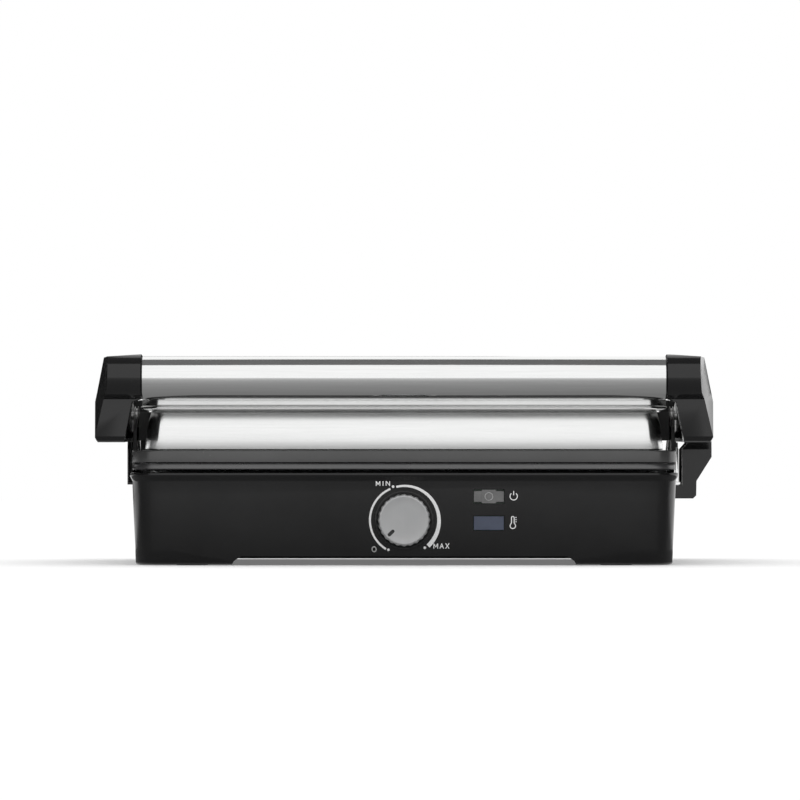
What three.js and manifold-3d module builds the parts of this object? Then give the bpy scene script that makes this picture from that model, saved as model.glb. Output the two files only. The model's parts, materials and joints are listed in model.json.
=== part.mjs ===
// Contact grill (panini press) with a floating hinge that opens flat to 180 degrees.
// Units are millimetres. +X is right, +Y is back, +Z is up, and Z = 0 is the worktop.
// The press is drawn closed. It is symmetric about X = 0 apart from the lamps, the drip tray,
// the cord outlet and the wiring cover on the right hinge.
import * as THREE from 'three';
import { mergeVertices } from 'three/addons/utils/BufferGeometryUtils.js';
import Module from 'manifold-3d';

const wasm = await Module();
wasm.setup();

// ---------------------------------------------------------------- driving dimensions
const GAP = 0.3; // air left between touching pieces
const SCREW_HEAD = 1.2;
const SHEET = 1; // pressed steel covers

// base housing
const BASE_HALF_X = 164.3; // at the height where the rim starts
const BASE_FRONT = -116;
const BASE_BACK = 126;
const BASE_CORNER = 22;
const BASE_WALL = 2.6;
const BASE_BOTTOM = 0.5;
const BASE_DRAFT = 2.1; // how much narrower the base is at the bottom
const RIM_START = 50.4;
const RIM_WIDEST = 54.6;
const RIM_TOP = 55.8;
const RIM_FLARE = 1.5;
const LEDGE_TOP = 49.8;
const ARCH_BOTTOM = 103.4; // half width of the arch between the feet
const ARCH_TOP = 97.9;
const ARCH_HEIGHT = 5.5;

// underside
const FOOT_HEIGHT = 6;
const FOOT_RADIUS = 10;
const FOOT_X = 128;
const FOOT_FRONT_Y = -97;
const FOOT_BACK_Y = 104;
const FLOOR_Z = 6.3; // underside of the bottom plate
const FLOOR_THICK = 1.6;
const BOSS_RADIUS = 4.5;
const BOSS_TOP = 30;

// controls on the front wall
const KNOB_Z = 27.2;
const KNOB_RADIUS = 15.7;
const KNOB_FRONT = -130;
const KNOB_BACK = -118.4;
const KNOB_LOBES = 24;
const SKIRT_RADIUS = 17.9;
const SPINDLE_RADIUS = 3;
const POINTER_ANGLE = 225.7; // degrees clockwise from the top, seen from the front
const LENS_X = 50.9;
const LENS_WIDTH = 17.6;
const LENS_HEIGHT = 9;
const POWER_LENS_Z = 41.4;
const READY_LENS_Z = 25.4;

// cooking plates
const LOWER_PLATE_HALF_X = 160.9;
const LOWER_PLATE_BOTTOM = 50.2;
const LOWER_PLATE_SLAB = 52.8;
const LOWER_PLATE_TOP = 55.4;
const UPPER_PLATE_BOTTOM = 57.3;
const UPPER_PLATE_SLAB = 59.6;
const UPPER_PLATE_TOP = 61.5;
const RIB_PITCH = 12;
const RIB_COUNT = 25;
const RIB_TIP = 2.6;
const RIB_ROOT = 5.4;
const ELEMENT_RADIUS = 3.3;

// lid
const LID_HALF_X = 164.4;
const LID_HALF_Y = 116;
const LID_CORNER = 20;
const FRAME_BOTTOM = 61.9;
const FRAME_TOP = 69.3;
const COVER_HALF_X = 156.4;
const COVER_HALF_Y = 112;
const COVER_CORNER = 13.5;
const FASCIA_BOTTOM = 69.6;
const FASCIA_TOP = 94;
const PANEL_HALF_X = 158.9;
const PANEL_HALF_Y = 113;
const PANEL_CORNER = 16;
const PANEL_BOTTOM = 94.3;
const PANEL_TOP = 102;
const PIVOT_Y = 4;
const PIVOT_Z = 91.2;
const PIVOT_RADIUS = 2.5;

// handle and arms
const HANDLE_Y = -127.8;
const HANDLE_Z = 113.1;
const HANDLE_RADIUS = 12.2;
const HANDLE_HALF_X = 156.7;
const HANDLE_CORE_RADIUS = 10.7;
const STUB_RADIUS = 9;
const COLLAR_RADIUS = 13.4;
const COLLAR_INNER_X = 157;
const ARM_INNER_X = 169.8;
const ARM_OUTER_FRONT_X = 186;
const ARM_OUTER_BACK_X = 197.3;
const ARM_WALL = 2.2;
const ARM_WIDE_END = 92; // behind this the arm is only a slim knuckle
const KNUCKLE_OUTER_X = 174.8;
const KNUCKLE_RADIUS = 9.5;
const STRAP_INNER_X = 170.1;
const STRAP_OUTER_X = 172.4;

// hinge
const HINGE_Y = 124;
const HINGE_Z = 63.2;
const HINGE_LIFT = 12;
const SHAFT_RADIUS = 3;
const TOWER_FRONT = 100;
const TOWER_BACK = 140.7;
const TOWER_INNER_X = 178.9;
const TOWER_OUTER_X = 197.9;
const FOOT_INNER_X = 164.7; // where the hinge feet meet the base wall
const TOWER_TOP = 85;
const TOWER_BOTTOM = 39.4;
const PLATE_INNER_X = 175.2;
const PLATE_OUTER_X = 176.8;
const SLOT_HALF = 4.3;

// drip tray
const TRAY_INNER_X = -44;
const TRAY_FRONT = -89;
const TRAY_BACK = -29;
const TRAY_BOTTOM = 11.6;
const TRAY_TOP = 30.6;
const TRAY_WALL = 1.8;

// ---------------------------------------------------------------- materials
function finish(name, color, roughness, metalness) {
  return () => new THREE.MeshStandardMaterial({ name, color, roughness, metalness });
}

const glossBlack = finish('gloss_black', 0x161616, 0.2, 0);
const matteBlack = finish('matte_black', 0x1b1b1b, 0.55, 0);
const frameGrey = finish('frame_grey', 0x2c2c2c, 0.5, 0);
const rubber = finish('rubber', 0x101010, 0.9, 0);
const brushedSteel = finish('brushed_steel', 0xc9cac8, 0.3, 1);
const polishedSteel = finish('polished_steel', 0xd8d9d8, 0.12, 1);
const platedSteel = finish('plated_steel', 0x9a9a98, 0.4, 1);
const castPlate = finish('cast_plate', 0x2a2a2b, 0.6, 0.3);
const satinSilver = finish('satin_silver', 0xb4b5b5, 0.35, 0.8);
const smokedLens = finish('smoked_lens', 0x5f5f60, 0.25, 0);
const blueLens = finish('blue_lens', 0x3a4a6e, 0.25, 0);
const whitePlastic = finish('white_plastic', 0xd9d6cc, 0.6, 0);
const boardGreen = finish('board_green', 0x1f5a34, 0.5, 0);

// ---------------------------------------------------------------- shape helpers
// A closed geometry becomes a solid that can be joined and cut.
function solid(geometry) {
  const bare = geometry.index ? geometry.toNonIndexed() : geometry.clone();
  for (const name of Object.keys(bare.attributes)) {
    if (name !== 'position') bare.deleteAttribute(name);
  }
  const merged = mergeVertices(bare, 1e-4);
  return new wasm.Manifold(new wasm.Mesh({
    numProp: 3,
    vertProperties: new Float32Array(merged.attributes.position.array),
    triVerts: new Uint32Array(merged.index.array),
  }));
}

function geometryOf(body) {
  const mesh = body.getMesh();
  const geometry = new THREE.BufferGeometry();
  geometry.setAttribute('position', new THREE.BufferAttribute(new Float32Array(mesh.vertProperties), 3));
  geometry.setIndex(new THREE.BufferAttribute(new Uint32Array(mesh.triVerts), 1));
  geometry.computeVertexNormals();
  return geometry;
}

function shapeOf(points) {
  return new THREE.Shape(points.map(([u, v]) => new THREE.Vector2(u, v)));
}

function extrude(points, depth, xAxis, yAxis, zAxis, start) {
  const geometry = new THREE.ExtrudeGeometry(shapeOf(points), { depth, bevelEnabled: false });
  const place = new THREE.Matrix4().makeBasis(xAxis, yAxis, zAxis).setPosition(start);
  return solid(geometry.applyMatrix4(place));
}

const X = new THREE.Vector3(1, 0, 0);
const Y = new THREE.Vector3(0, 1, 0);
const Z = new THREE.Vector3(0, 0, 1);
const BACK_TO_FRONT = new THREE.Vector3(0, -1, 0);

// An outline in (Y, Z), swept along X.
function alongX(points, x0, x1) {
  return extrude(points, x1 - x0, Y, Z, X, new THREE.Vector3(x0, 0, 0));
}

// An outline in (X, Z), swept along Y.
function alongY(points, y0, y1) {
  return extrude(points, y1 - y0, X, Z, BACK_TO_FRONT, new THREE.Vector3(0, y1, 0));
}

// An outline in (X, Y), swept along Z.
function alongZ(points, z0, z1) {
  return extrude(points, z1 - z0, X, Y, Z, new THREE.Vector3(0, 0, z0));
}

function box(x0, x1, y0, y1, z0, z1) {
  const geometry = new THREE.BoxGeometry(x1 - x0, y1 - y0, z1 - z0);
  return solid(geometry.translate((x0 + x1) / 2, (y0 + y1) / 2, (z0 + z1) / 2));
}

// A round bar between two values along one axis, centred at (a, b) on the other two.
function rod(axis, radius, from, to, a, b, segments = 16) {
  const geometry = new THREE.CylinderGeometry(radius, radius, to - from, segments);
  const middle = (from + to) / 2;
  if (axis === 'x') geometry.rotateZ(-Math.PI / 2).translate(middle, a, b);
  if (axis === 'y') geometry.translate(a, middle, b);
  if (axis === 'z') geometry.rotateX(Math.PI / 2).translate(a, b, middle);
  return solid(geometry);
}

// A turned body: profile of [radius, distance] pairs that closes on itself or on the axis.
function turned(axis, profile, a, b, segments = 32) {
  const points = profile.map(([r, d]) => new THREE.Vector2(r, d));
  const geometry = new THREE.LatheGeometry(points, segments);
  if (axis === 'x') geometry.rotateZ(-Math.PI / 2).translate(0, a, b);
  if (axis === 'y') geometry.translate(a, 0, b);
  if (axis === 'z') geometry.rotateX(Math.PI / 2).translate(a, b, 0);
  const body = solid(geometry);
  return body.volume() < 0 ? solid(flipped(geometry)) : body;
}

function flipped(geometry) {
  const index = geometry.index.array;
  for (let i = 0; i < index.length; i += 3) [index[i], index[i + 1]] = [index[i + 1], index[i]];
  return geometry;
}

// Counterclockwise rounded rectangle in plan, as [x, y] pairs.
function roundedRect(halfX, front, back, radius, steps = 4) {
  const corners = [
    [halfX - radius, front + radius, -90],
    [halfX - radius, back - radius, 0],
    [radius - halfX, back - radius, 90],
    [radius - halfX, front + radius, 180],
  ];
  return corners.flatMap(([x, y, start]) => arc(x, y, radius, start, start + 90, steps));
}

// Points on a circle from one angle to another, both ends included; angles in degrees.
function arc(u, v, radius, from, to, steps) {
  return Array.from({ length: steps + 1 }, (_, i) => {
    const angle = THREE.MathUtils.degToRad(from + ((to - from) * i) / steps);
    return [u + radius * Math.cos(angle), v + radius * Math.sin(angle)];
  });
}

// A skin over a stack of outlines with the same number of points; place(point, level) gives
// each corner, and the first and last outlines are closed by flat caps.
function loft(outlines, levels, place) {
  const count = outlines[0].length;
  const vertices = outlines.flatMap((outline, i) => outline.flatMap((point) => place(point, levels[i])));
  const index = [];
  for (let ring = 0; ring < outlines.length - 1; ring += 1) {
    for (let i = 0; i < count; i += 1) {
      const next = (i + 1) % count;
      const low = ring * count;
      const high = low + count;
      index.push(low + i, low + next, high + next, low + i, high + next, high + i);
    }
  }
  const caps = [[0, true], [outlines.length - 1, false]];
  for (const [ring, turnOver] of caps) {
    const points = outlines[ring].map(([u, v]) => new THREE.Vector2(u, v));
    for (const [a, b, c] of THREE.ShapeUtils.triangulateShape(points, [])) {
      const start = ring * count;
      index.push(start + a, start + (turnOver ? c : b), start + (turnOver ? b : c));
    }
  }
  const geometry = new THREE.BufferGeometry();
  geometry.setAttribute('position', new THREE.Float32BufferAttribute(vertices, 3));
  geometry.setIndex(index);
  const body = solid(geometry);
  return body.volume() < 0 ? solid(flipped(geometry)) : body;
}

// A rounded box whose plan shrinks by inset at each height: layers of [z, inset].
function stacked(halfX, front, back, radius, layers) {
  const outlines = layers.map(([, inset]) => (
    roundedRect(halfX - inset, front + inset, back - inset, Math.max(radius - inset, 1))));
  return loft(outlines, layers.map(([z]) => z), ([x, y], z) => [x, y, z]);
}

// An outline moved inwards by a distance, with mitred corners; the outline runs counterclockwise.
function insetOutline(points, distance) {
  const count = points.length;
  return points.map((point, i) => {
    const here = new THREE.Vector2(...point);
    const before = here.clone().sub(new THREE.Vector2(...points[(i + count - 1) % count])).normalize();
    const after = new THREE.Vector2(...points[(i + 1) % count]).sub(here).normalize();
    const middle = before.clone().add(after).normalize();
    const inward = new THREE.Vector2(-middle.y, middle.x);
    const reach = distance / Math.max(inward.dot(new THREE.Vector2(-after.y, after.x)), 0.4);
    return [here.x + inward.x * reach, here.y + inward.y * reach];
  });
}

const press = new THREE.Group();

function add(name, body, material) {
  const mesh = new THREE.Mesh(geometryOf(body), material());
  mesh.name = name;
  press.add(mesh);
}

// The same piece on both sides; the left one is the mirror image of the right one.
function addPair(name, right, material) {
  add(`right_${name}`, right, material);
  add(`left_${name}`, right.mirror([1, 0, 0]), material);
}

// A pan-head screw whose head's bearing face is at start and whose shank runs for length.
function screw(axis, sign, start, length, a, b, shank = 1.7, head = 3.4) {
  const headEnd = start - sign * SCREW_HEAD;
  const tip = start + sign * length;
  const bodyOfHead = rod(axis, head, Math.min(start, headEnd), Math.max(start, headEnd), a, b, 10);
  const bodyOfShank = rod(axis, shank, Math.min(headEnd, tip), Math.max(headEnd, tip), a, b, 8);
  return bodyOfHead.add(bodyOfShank);
}

// ---------------------------------------------------------------- base housing
function baseInset(z) {
  return BASE_DRAFT * Math.max(0, (RIM_START - z) / (RIM_START - BASE_BOTTOM));
}

function baseShell() {
  const outer = stacked(BASE_HALF_X, BASE_FRONT, BASE_BACK, BASE_CORNER, [
    [BASE_BOTTOM, BASE_DRAFT + 0.6],
    [BASE_BOTTOM + 1.4, baseInset(BASE_BOTTOM + 1.4)],
    [RIM_START, 0],
    [RIM_START + 2, -RIM_FLARE * 0.75],
    [RIM_WIDEST, -RIM_FLARE],
    [RIM_TOP - 0.3, -RIM_FLARE * 0.7],
    [RIM_TOP, 0.2],
  ]);
  const hollow = stacked(BASE_HALF_X, BASE_FRONT, BASE_BACK, BASE_CORNER, [
    [BASE_BOTTOM - 2, BASE_DRAFT + BASE_WALL],
    [RIM_START, BASE_WALL],
    [RIM_TOP + 2, BASE_WALL],
  ]);
  const ledge = stacked(BASE_HALF_X, BASE_FRONT, BASE_BACK, BASE_CORNER, [
    [LEDGE_TOP - 2, 1.5],
    [LEDGE_TOP, 1.5],
  ]).subtract(stacked(BASE_HALF_X, BASE_FRONT, BASE_BACK, BASE_CORNER, [
    [LEDGE_TOP - 4, BASE_WALL + 5],
    [LEDGE_TOP + 1, BASE_WALL + 5],
  ]));
  return outer.subtract(hollow).add(ledge);
}

function frontArch() {
  return alongY([
    [-ARCH_BOTTOM, -1], [ARCH_BOTTOM, -1], [ARCH_BOTTOM - 0.4, 1.6], [ARCH_TOP + 1.6, 4.4],
    [ARCH_TOP, ARCH_HEIGHT], [-ARCH_TOP, ARCH_HEIGHT], [-ARCH_TOP - 1.6, 4.4], [-ARCH_BOTTOM + 0.4, 1.6],
  ], BASE_FRONT - 5, BASE_FRONT + 12);
}

// Screw bosses as [name, X, Y].
const screwBosses = [
  ['front_left', -146, -98.5], ['front_right', 146, -98.5],
  ['back_left', -146, 106], ['back_right', 146, 106],
];
const hingeScrewPlaces = [[88, 44], [98, 44]]; // (Y, Z) of the screws through each side wall
const GROMMET_X = -100;
const GROMMET_Z = 15;

function housing() {
  let body = baseShell();
  const bossBottom = FLOOR_Z + FLOOR_THICK + GAP;
  for (const [, x, y] of screwBosses) {
    const wallX = Math.sign(x) * (BASE_HALF_X - BASE_DRAFT - 2);
    const rib = box(Math.min(x, wallX), Math.max(x, wallX), y - 1, y + 1, bossBottom, BOSS_TOP);
    body = body.add(rod('z', BOSS_RADIUS, bossBottom, BOSS_TOP, x, y, 12)).add(rib)
      .subtract(rod('z', 2, 0, 20, x, y, 10));
  }
  body = body
    .subtract(frontArch())
    .subtract(rod('y', SPINDLE_RADIUS + 0.5, BASE_FRONT - 5, BASE_FRONT + 8, 0, KNOB_Z))
    .subtract(rod('y', 6.3, BASE_BACK - 8, BASE_BACK + 5, GROMMET_X, GROMMET_Z))
    .subtract(box(-170, -150, TRAY_FRONT - GAP, TRAY_BACK + GAP, TRAY_BOTTOM - GAP, TRAY_TOP + 1 + GAP));
  for (const z of [POWER_LENS_Z, READY_LENS_Z]) {
    body = body.subtract(box(LENS_X - LENS_WIDTH / 2, LENS_X + LENS_WIDTH / 2,
      BASE_FRONT - 5, BASE_FRONT + 8, z - LENS_HEIGHT / 2, z + LENS_HEIGHT / 2));
  }
  for (const [y, z] of hingeScrewPlaces) {
    body = body.subtract(rod('x', 2, -170, 170, y, z, 12));
  }
  return body;
}

function bottomPlate() {
  const inset = BASE_DRAFT + BASE_WALL + 0.6;
  let body = stacked(BASE_HALF_X, BASE_FRONT, BASE_BACK, BASE_CORNER, [
    [FLOOR_Z, inset],
    [FLOOR_Z + FLOOR_THICK, inset],
  ]);
  for (const [, x, y] of screwBosses) body = body.subtract(rod('z', 2, 0, 20, x, y, 12));
  const ventRows = [-20, 20, 60];
  const ventColumns = 5;
  for (const y of ventRows) {
    for (let i = 0; i < ventColumns; i += 1) {
      const x = (i - (ventColumns - 1) / 2) * 30;
      body = body.subtract(box(x - 11, x + 11, y - 2, y + 2, 0, 20));
    }
  }
  return body;
}

add('base_housing', housing(), glossBlack);
add('bottom_plate', bottomPlate(), matteBlack);

const footPlaces = [
  ['front_left_foot', -FOOT_X, FOOT_FRONT_Y], ['front_right_foot', FOOT_X, FOOT_FRONT_Y],
  ['back_left_foot', -FOOT_X, FOOT_BACK_Y], ['back_right_foot', FOOT_X, FOOT_BACK_Y],
];
for (const [name, x, y] of footPlaces) {
  const profile = [
    [0, 0], [FOOT_RADIUS - 0.8, 0], [FOOT_RADIUS, 0.8], [FOOT_RADIUS, FOOT_HEIGHT - 1],
    [FOOT_RADIUS - 1, FOOT_HEIGHT], [0, FOOT_HEIGHT],
  ];
  add(name, turned('z', profile, x, y, 16), rubber);
}

for (const [name, x, y] of screwBosses) {
  add(`${name}_base_screw`, screw('z', 1, FLOOR_Z - GAP, 12, x, y), platedSteel);
}

// ---------------------------------------------------------------- cooking plates
// Ribs run front to back; the comb outline is in (X, Z) from its base up or down to its tips.
function ribComb(base, tip, front, back) {
  const root = RIB_ROOT / 2;
  const point = RIB_TIP / 2;
  const into = base + Math.sign(base - tip) * 0.5;
  let comb = null;
  for (let i = 0; i < RIB_COUNT; i += 1) {
    const x = (i - (RIB_COUNT - 1) / 2) * RIB_PITCH;
    const outline = [[x - root, into], [x + root, into], [x + point, tip], [x - point, tip]];
    const rib = alongY(tip > base ? outline : outline.reverse(), front, back);
    comb = comb ? comb.add(rib) : rib;
  }
  return comb;
}

const DRAIN_X = -137;
const DRAIN_Y = -78;

function lowerPlate() {
  const half = LOWER_PLATE_HALF_X;
  const front = BASE_FRONT + (BASE_HALF_X - half);
  const back = BASE_BACK - (BASE_HALF_X - half);
  const corner = BASE_CORNER - (BASE_HALF_X - half);
  const tub = stacked(half, front, back, corner, [[LOWER_PLATE_BOTTOM, 0], [LOWER_PLATE_TOP, 0]])
    .subtract(stacked(half, front, back, corner, [[LOWER_PLATE_SLAB, 4], [LOWER_PLATE_TOP + 1, 2.6]]));
  const ribs = ribComb(LOWER_PLATE_SLAB, LOWER_PLATE_TOP, front + 16, back - 6);
  const spout = rod('z', 6, 40, LOWER_PLATE_SLAB - 1, DRAIN_X, DRAIN_Y, 20);
  return tub.add(ribs).add(spout).subtract(rod('z', 4, 35, 60, DRAIN_X, DRAIN_Y, 20));
}

function upperPlate() {
  const rim = stacked(LID_HALF_X, -LID_HALF_Y, LID_HALF_Y, LID_CORNER, [
    [UPPER_PLATE_BOTTOM, 0.9],
    [UPPER_PLATE_BOTTOM + 0.8, 0.3],
    [UPPER_PLATE_TOP - 0.2, 0.3],
  ]).subtract(stacked(LID_HALF_X, -LID_HALF_Y, LID_HALF_Y, LID_CORNER, [
    [UPPER_PLATE_BOTTOM - 1, 5],
    [UPPER_PLATE_SLAB, 6],
  ]));
  return rim.add(ribComb(UPPER_PLATE_SLAB, UPPER_PLATE_BOTTOM, -LID_HALF_Y + 12, LID_HALF_Y - 12));
}

// A sheathed element bent into a W in a level plane, with its two cold ends at the back.
function heatingElement(z, reach) {
  const xs = [-125, -55, 0, 55, 125];
  const bend = 20;
  const corners = [
    [xs[0], 80], [xs[0], -reach + bend], [xs[0] + bend, -reach + 5], [xs[1] - bend, -reach + 5],
    [xs[1], -reach + bend], [xs[1], 40], [xs[2], 62], [xs[3], 40], [xs[3], -reach + bend],
    [xs[3] + bend, -reach + 5], [xs[4] - bend, -reach + 5], [xs[4], -reach + bend], [xs[4], 80],
  ];
  const places = corners.map(([x, y]) => new THREE.Vector3(x, y, z));
  const line = new THREE.CatmullRomCurve3(places, false, 'centripetal');
  const section = shapeOf(arc(0, 0, ELEMENT_RADIUS, 0, 300, 5));
  return solid(new THREE.ExtrudeGeometry(section, { steps: 42, bevelEnabled: false, extrudePath: line }));
}

// A thin open tray of steel sheet that faces up or down.
function reflector(halfX, front, back, closedZ, openZ) {
  const step = Math.sign(openZ - closedZ);
  const outer = [[closedZ, 3], [closedZ + step * 3, 0], [openZ, 0]];
  const inner = [[closedZ + step * 0.8, 4], [closedZ + step * 3.8, 1], [openZ + step, 1]];
  const layersUp = (layers) => (step > 0 ? layers : [...layers].reverse());
  return stacked(halfX, front, back, 12, layersUp(outer))
    .subtract(stacked(halfX, front, back, 12, layersUp(inner)));
}

add('lower_plate', lowerPlate(), castPlate);
add('upper_plate', upperPlate(), castPlate);
add('lower_heating_element', heatingElement(LOWER_PLATE_BOTTOM - GAP - ELEMENT_RADIUS, 86), platedSteel);
add('upper_heating_element', heatingElement(UPPER_PLATE_TOP + GAP + ELEMENT_RADIUS, 94), platedSteel);
add('lower_heat_reflector', reflector(146, -93, 108, 41.6, 49.8)
  .subtract(rod('z', 8, 30, 60, DRAIN_X, DRAIN_Y)), platedSteel);
add('upper_heat_reflector', reflector(146, -101, 101, 80, 70), platedSteel);

// ---------------------------------------------------------------- controls
function scalloped(radius, depth) {
  const pointsPerLobe = 3;
  const count = KNOB_LOBES * pointsPerLobe;
  return Array.from({ length: count }, (_, i) => {
    const angle = (2 * Math.PI * i) / count;
    const r = radius - (depth * (1 - Math.cos(KNOB_LOBES * angle))) / 2;
    return [r * Math.cos(angle), KNOB_Z + r * Math.sin(angle)];
  });
}

function knob() {
  const turn = THREE.MathUtils.degToRad(POINTER_ANGLE);
  const toward = [Math.sin(turn), Math.cos(turn)];
  const slotHalf = 0.9;
  const at = (along, across) => [
    toward[0] * along + toward[1] * across,
    KNOB_Z + toward[1] * along - toward[0] * across,
  ];
  const slot = alongY([at(8.4, slotHalf), at(8.4, -slotHalf), at(13, -slotHalf), at(13, slotHalf)],
    KNOB_FRONT - 1, KNOB_FRONT + 1.2);
  return alongY(scalloped(KNOB_RADIUS, 0.5), KNOB_FRONT, KNOB_BACK)
    .subtract(slot)
    .subtract(rod('y', SPINDLE_RADIUS + 0.15, KNOB_BACK - 8, KNOB_BACK + 1, 0, KNOB_Z));
}

const skirtProfile = [
  [SPINDLE_RADIUS + 0.15, KNOB_BACK + GAP], [SKIRT_RADIUS - 0.8, KNOB_BACK + GAP],
  [SKIRT_RADIUS, KNOB_BACK + 1], [SKIRT_RADIUS, -115.8], [SPINDLE_RADIUS + 0.15, -115.8],
];
skirtProfile.push(skirtProfile[0]);

add('temperature_knob', knob(), satinSilver);
add('knob_skirt', turned('y', skirtProfile, 0, KNOB_Z, 28), glossBlack);
add('thermostat_spindle', rod('y', SPINDLE_RADIUS, KNOB_BACK - 7.5, -94, 0, KNOB_Z), platedSteel);

function thermostat() {
  return box(-14, 14, -111, -90, 14.5, 39.8).subtract(rod('y', SPINDLE_RADIUS + 0.2, -115, -93.5, 0, KNOB_Z));
}

function lens(z) {
  const left = LENS_X - LENS_WIDTH / 2 + GAP;
  const right = LENS_X + LENS_WIDTH / 2 - GAP;
  const low = z - LENS_HEIGHT / 2 + GAP;
  const high = z + LENS_HEIGHT / 2 - GAP;
  const flange = box(left - 1.5, right + 1.5, -111.7, -110.7, low - 1, high + 1);
  return box(left, right, -115.1 + baseInset(z) / 2, -111, low, high).add(flange);
}

function lamp(z) {
  return turned('y', [[0, -110.2], [1.4, -109.9], [2.4, -108.8], [2.5, -107.3], [0, -107.3]], LENS_X, z, 16);
}

add('thermostat_body', thermostat(), whitePlastic);
add('power_light_lens', lens(POWER_LENS_Z), smokedLens);
add('ready_light_lens', lens(READY_LENS_Z), blueLens);
add('power_lamp', lamp(POWER_LENS_Z), whitePlastic);
add('ready_lamp', lamp(READY_LENS_Z), whitePlastic);
add('lamp_board', box(LENS_X - 13, LENS_X + 13, -107, -105.4, 14, 47), boardGreen);
add('terminal_block', box(-60, -28, 88, 102, FLOOR_Z + FLOOR_THICK + GAP, 21), whitePlastic);

const wallOutside = BASE_BACK - baseInset(GROMMET_Z);
const wallInside = wallOutside - BASE_WALL;
const grommetProfile = [
  [3.9, wallInside - 3.5], [6.3, wallInside - 3.5], [6.6, wallInside - GAP - 0.2],
  [5.9, wallInside - GAP - 0.2], [5.9, wallOutside + GAP + 0.2], [8, wallOutside + GAP + 0.2],
  [7.4, wallOutside + 2.2], [3.9, wallOutside + 2.8],
];
grommetProfile.push(grommetProfile[0]);
add('cord_grommet', turned('y', grommetProfile, GROMMET_X, GROMMET_Z, 16), rubber);

// ---------------------------------------------------------------- drip tray
// The tray's front closes the opening in the left wall and lies flush with it.
function dripTray() {
  const foot = -(BASE_HALF_X - baseInset(TRAY_BOTTOM));
  const head = -(BASE_HALF_X - baseInset(TRAY_TOP));
  const faceBack = foot + 3.2;
  const faceTop = TRAY_TOP + 1 - GAP;
  const face = alongY([
    [head, faceTop], [foot, TRAY_BOTTOM + GAP], [faceBack, TRAY_BOTTOM + GAP], [faceBack, faceTop],
  ], TRAY_FRONT + GAP, TRAY_BACK - GAP);
  const well = box(faceBack - 1, TRAY_INNER_X, TRAY_FRONT + 1, TRAY_BACK - 1, TRAY_BOTTOM, TRAY_TOP - 2);
  const hollow = box(faceBack + TRAY_WALL, TRAY_INNER_X - TRAY_WALL, TRAY_FRONT + 1 + TRAY_WALL,
    TRAY_BACK - 1 - TRAY_WALL, TRAY_BOTTOM + TRAY_WALL, TRAY_TOP + 5);
  const fingerDish = rod('z', 13, TRAY_TOP - 8, TRAY_TOP + 5, foot - 11, (TRAY_FRONT + TRAY_BACK) / 2, 24);
  return well.add(face).subtract(fingerDish).subtract(hollow);
}

function trayGuide() {
  const outer = box(-152, TRAY_INNER_X + 4, TRAY_FRONT - 1, TRAY_BACK + 1, FLOOR_Z + FLOOR_THICK + GAP, 22);
  const inner = box(-160, TRAY_INNER_X + 2, TRAY_FRONT + 0.4, TRAY_BACK - 0.4, TRAY_BOTTOM - 0.6, 30);
  return outer.subtract(inner);
}

add('drip_tray', dripTray(), glossBlack);
add('drip_tray_guide', trayGuide(), matteBlack);

// ---------------------------------------------------------------- lid
function upperFrame() {
  const layers = [[FRAME_BOTTOM, 0.3], [FRAME_BOTTOM + 0.6, 0], [FRAME_TOP - 1.2, 0], [FRAME_TOP, 0.8]];
  return stacked(LID_HALF_X, -LID_HALF_Y, LID_HALF_Y, LID_CORNER, layers)
    .subtract(stacked(LID_HALF_X, -LID_HALF_Y, LID_HALF_Y, LID_CORNER, [
      [FRAME_BOTTOM - 1, 10],
      [FRAME_TOP + 1, 10],
    ]));
}

// The upright band of the cover leans in at the top.
function fascia() {
  const outer = [
    [FASCIA_BOTTOM, 0], [85.8, 1.1], [88.5, 1.6], [91, 2.6], [92.7, 3.6], [FASCIA_TOP, 4.7],
  ];
  const inner = outer.map(([z, inset]) => [z, inset + SHEET]);
  inner[0][0] -= 1;
  inner.push([FASCIA_TOP + 2, 4.7 + SHEET]);
  const [halfX, halfY, corner] = [COVER_HALF_X, COVER_HALF_Y, COVER_CORNER];
  return stacked(halfX, -halfY, halfY, corner, outer).subtract(stacked(halfX, -halfY, halfY, corner, inner));
}

// The top panel has a rolled rim, a fine crease and a soft shoulder up to a flat field.
function topPanel() {
  const outer = [
    [PANEL_BOTTOM, 0.4], [94.7, 0], [95.6, 0], [96.1, 0.8], [100.8, 0.9], [101.4, 2.2],
    [101.8, 5], [PANEL_TOP, 10],
  ];
  const inner = outer.map(([z, inset]) => [z - SHEET, inset + SHEET]);
  inner[0][0] -= 1;
  const [halfX, halfY, corner] = [PANEL_HALF_X, PANEL_HALF_Y, PANEL_CORNER];
  return stacked(halfX, -halfY, halfY, corner, outer).subtract(stacked(halfX, -halfY, halfY, corner, inner));
}

// Each pivot lug stands on the side of the lid frame and carries the pin at its top boss.
const LUG_INNER_X = LID_HALF_X + GAP;
const LUG_OUTER_X = 169.1;
const LUG_SCREW_Z = 65.6;

const lugScrewHole = rod('x', 2, -LUG_OUTER_X - 2, LUG_OUTER_X + 2, PIVOT_Y, LUG_SCREW_Z, 12);

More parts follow.
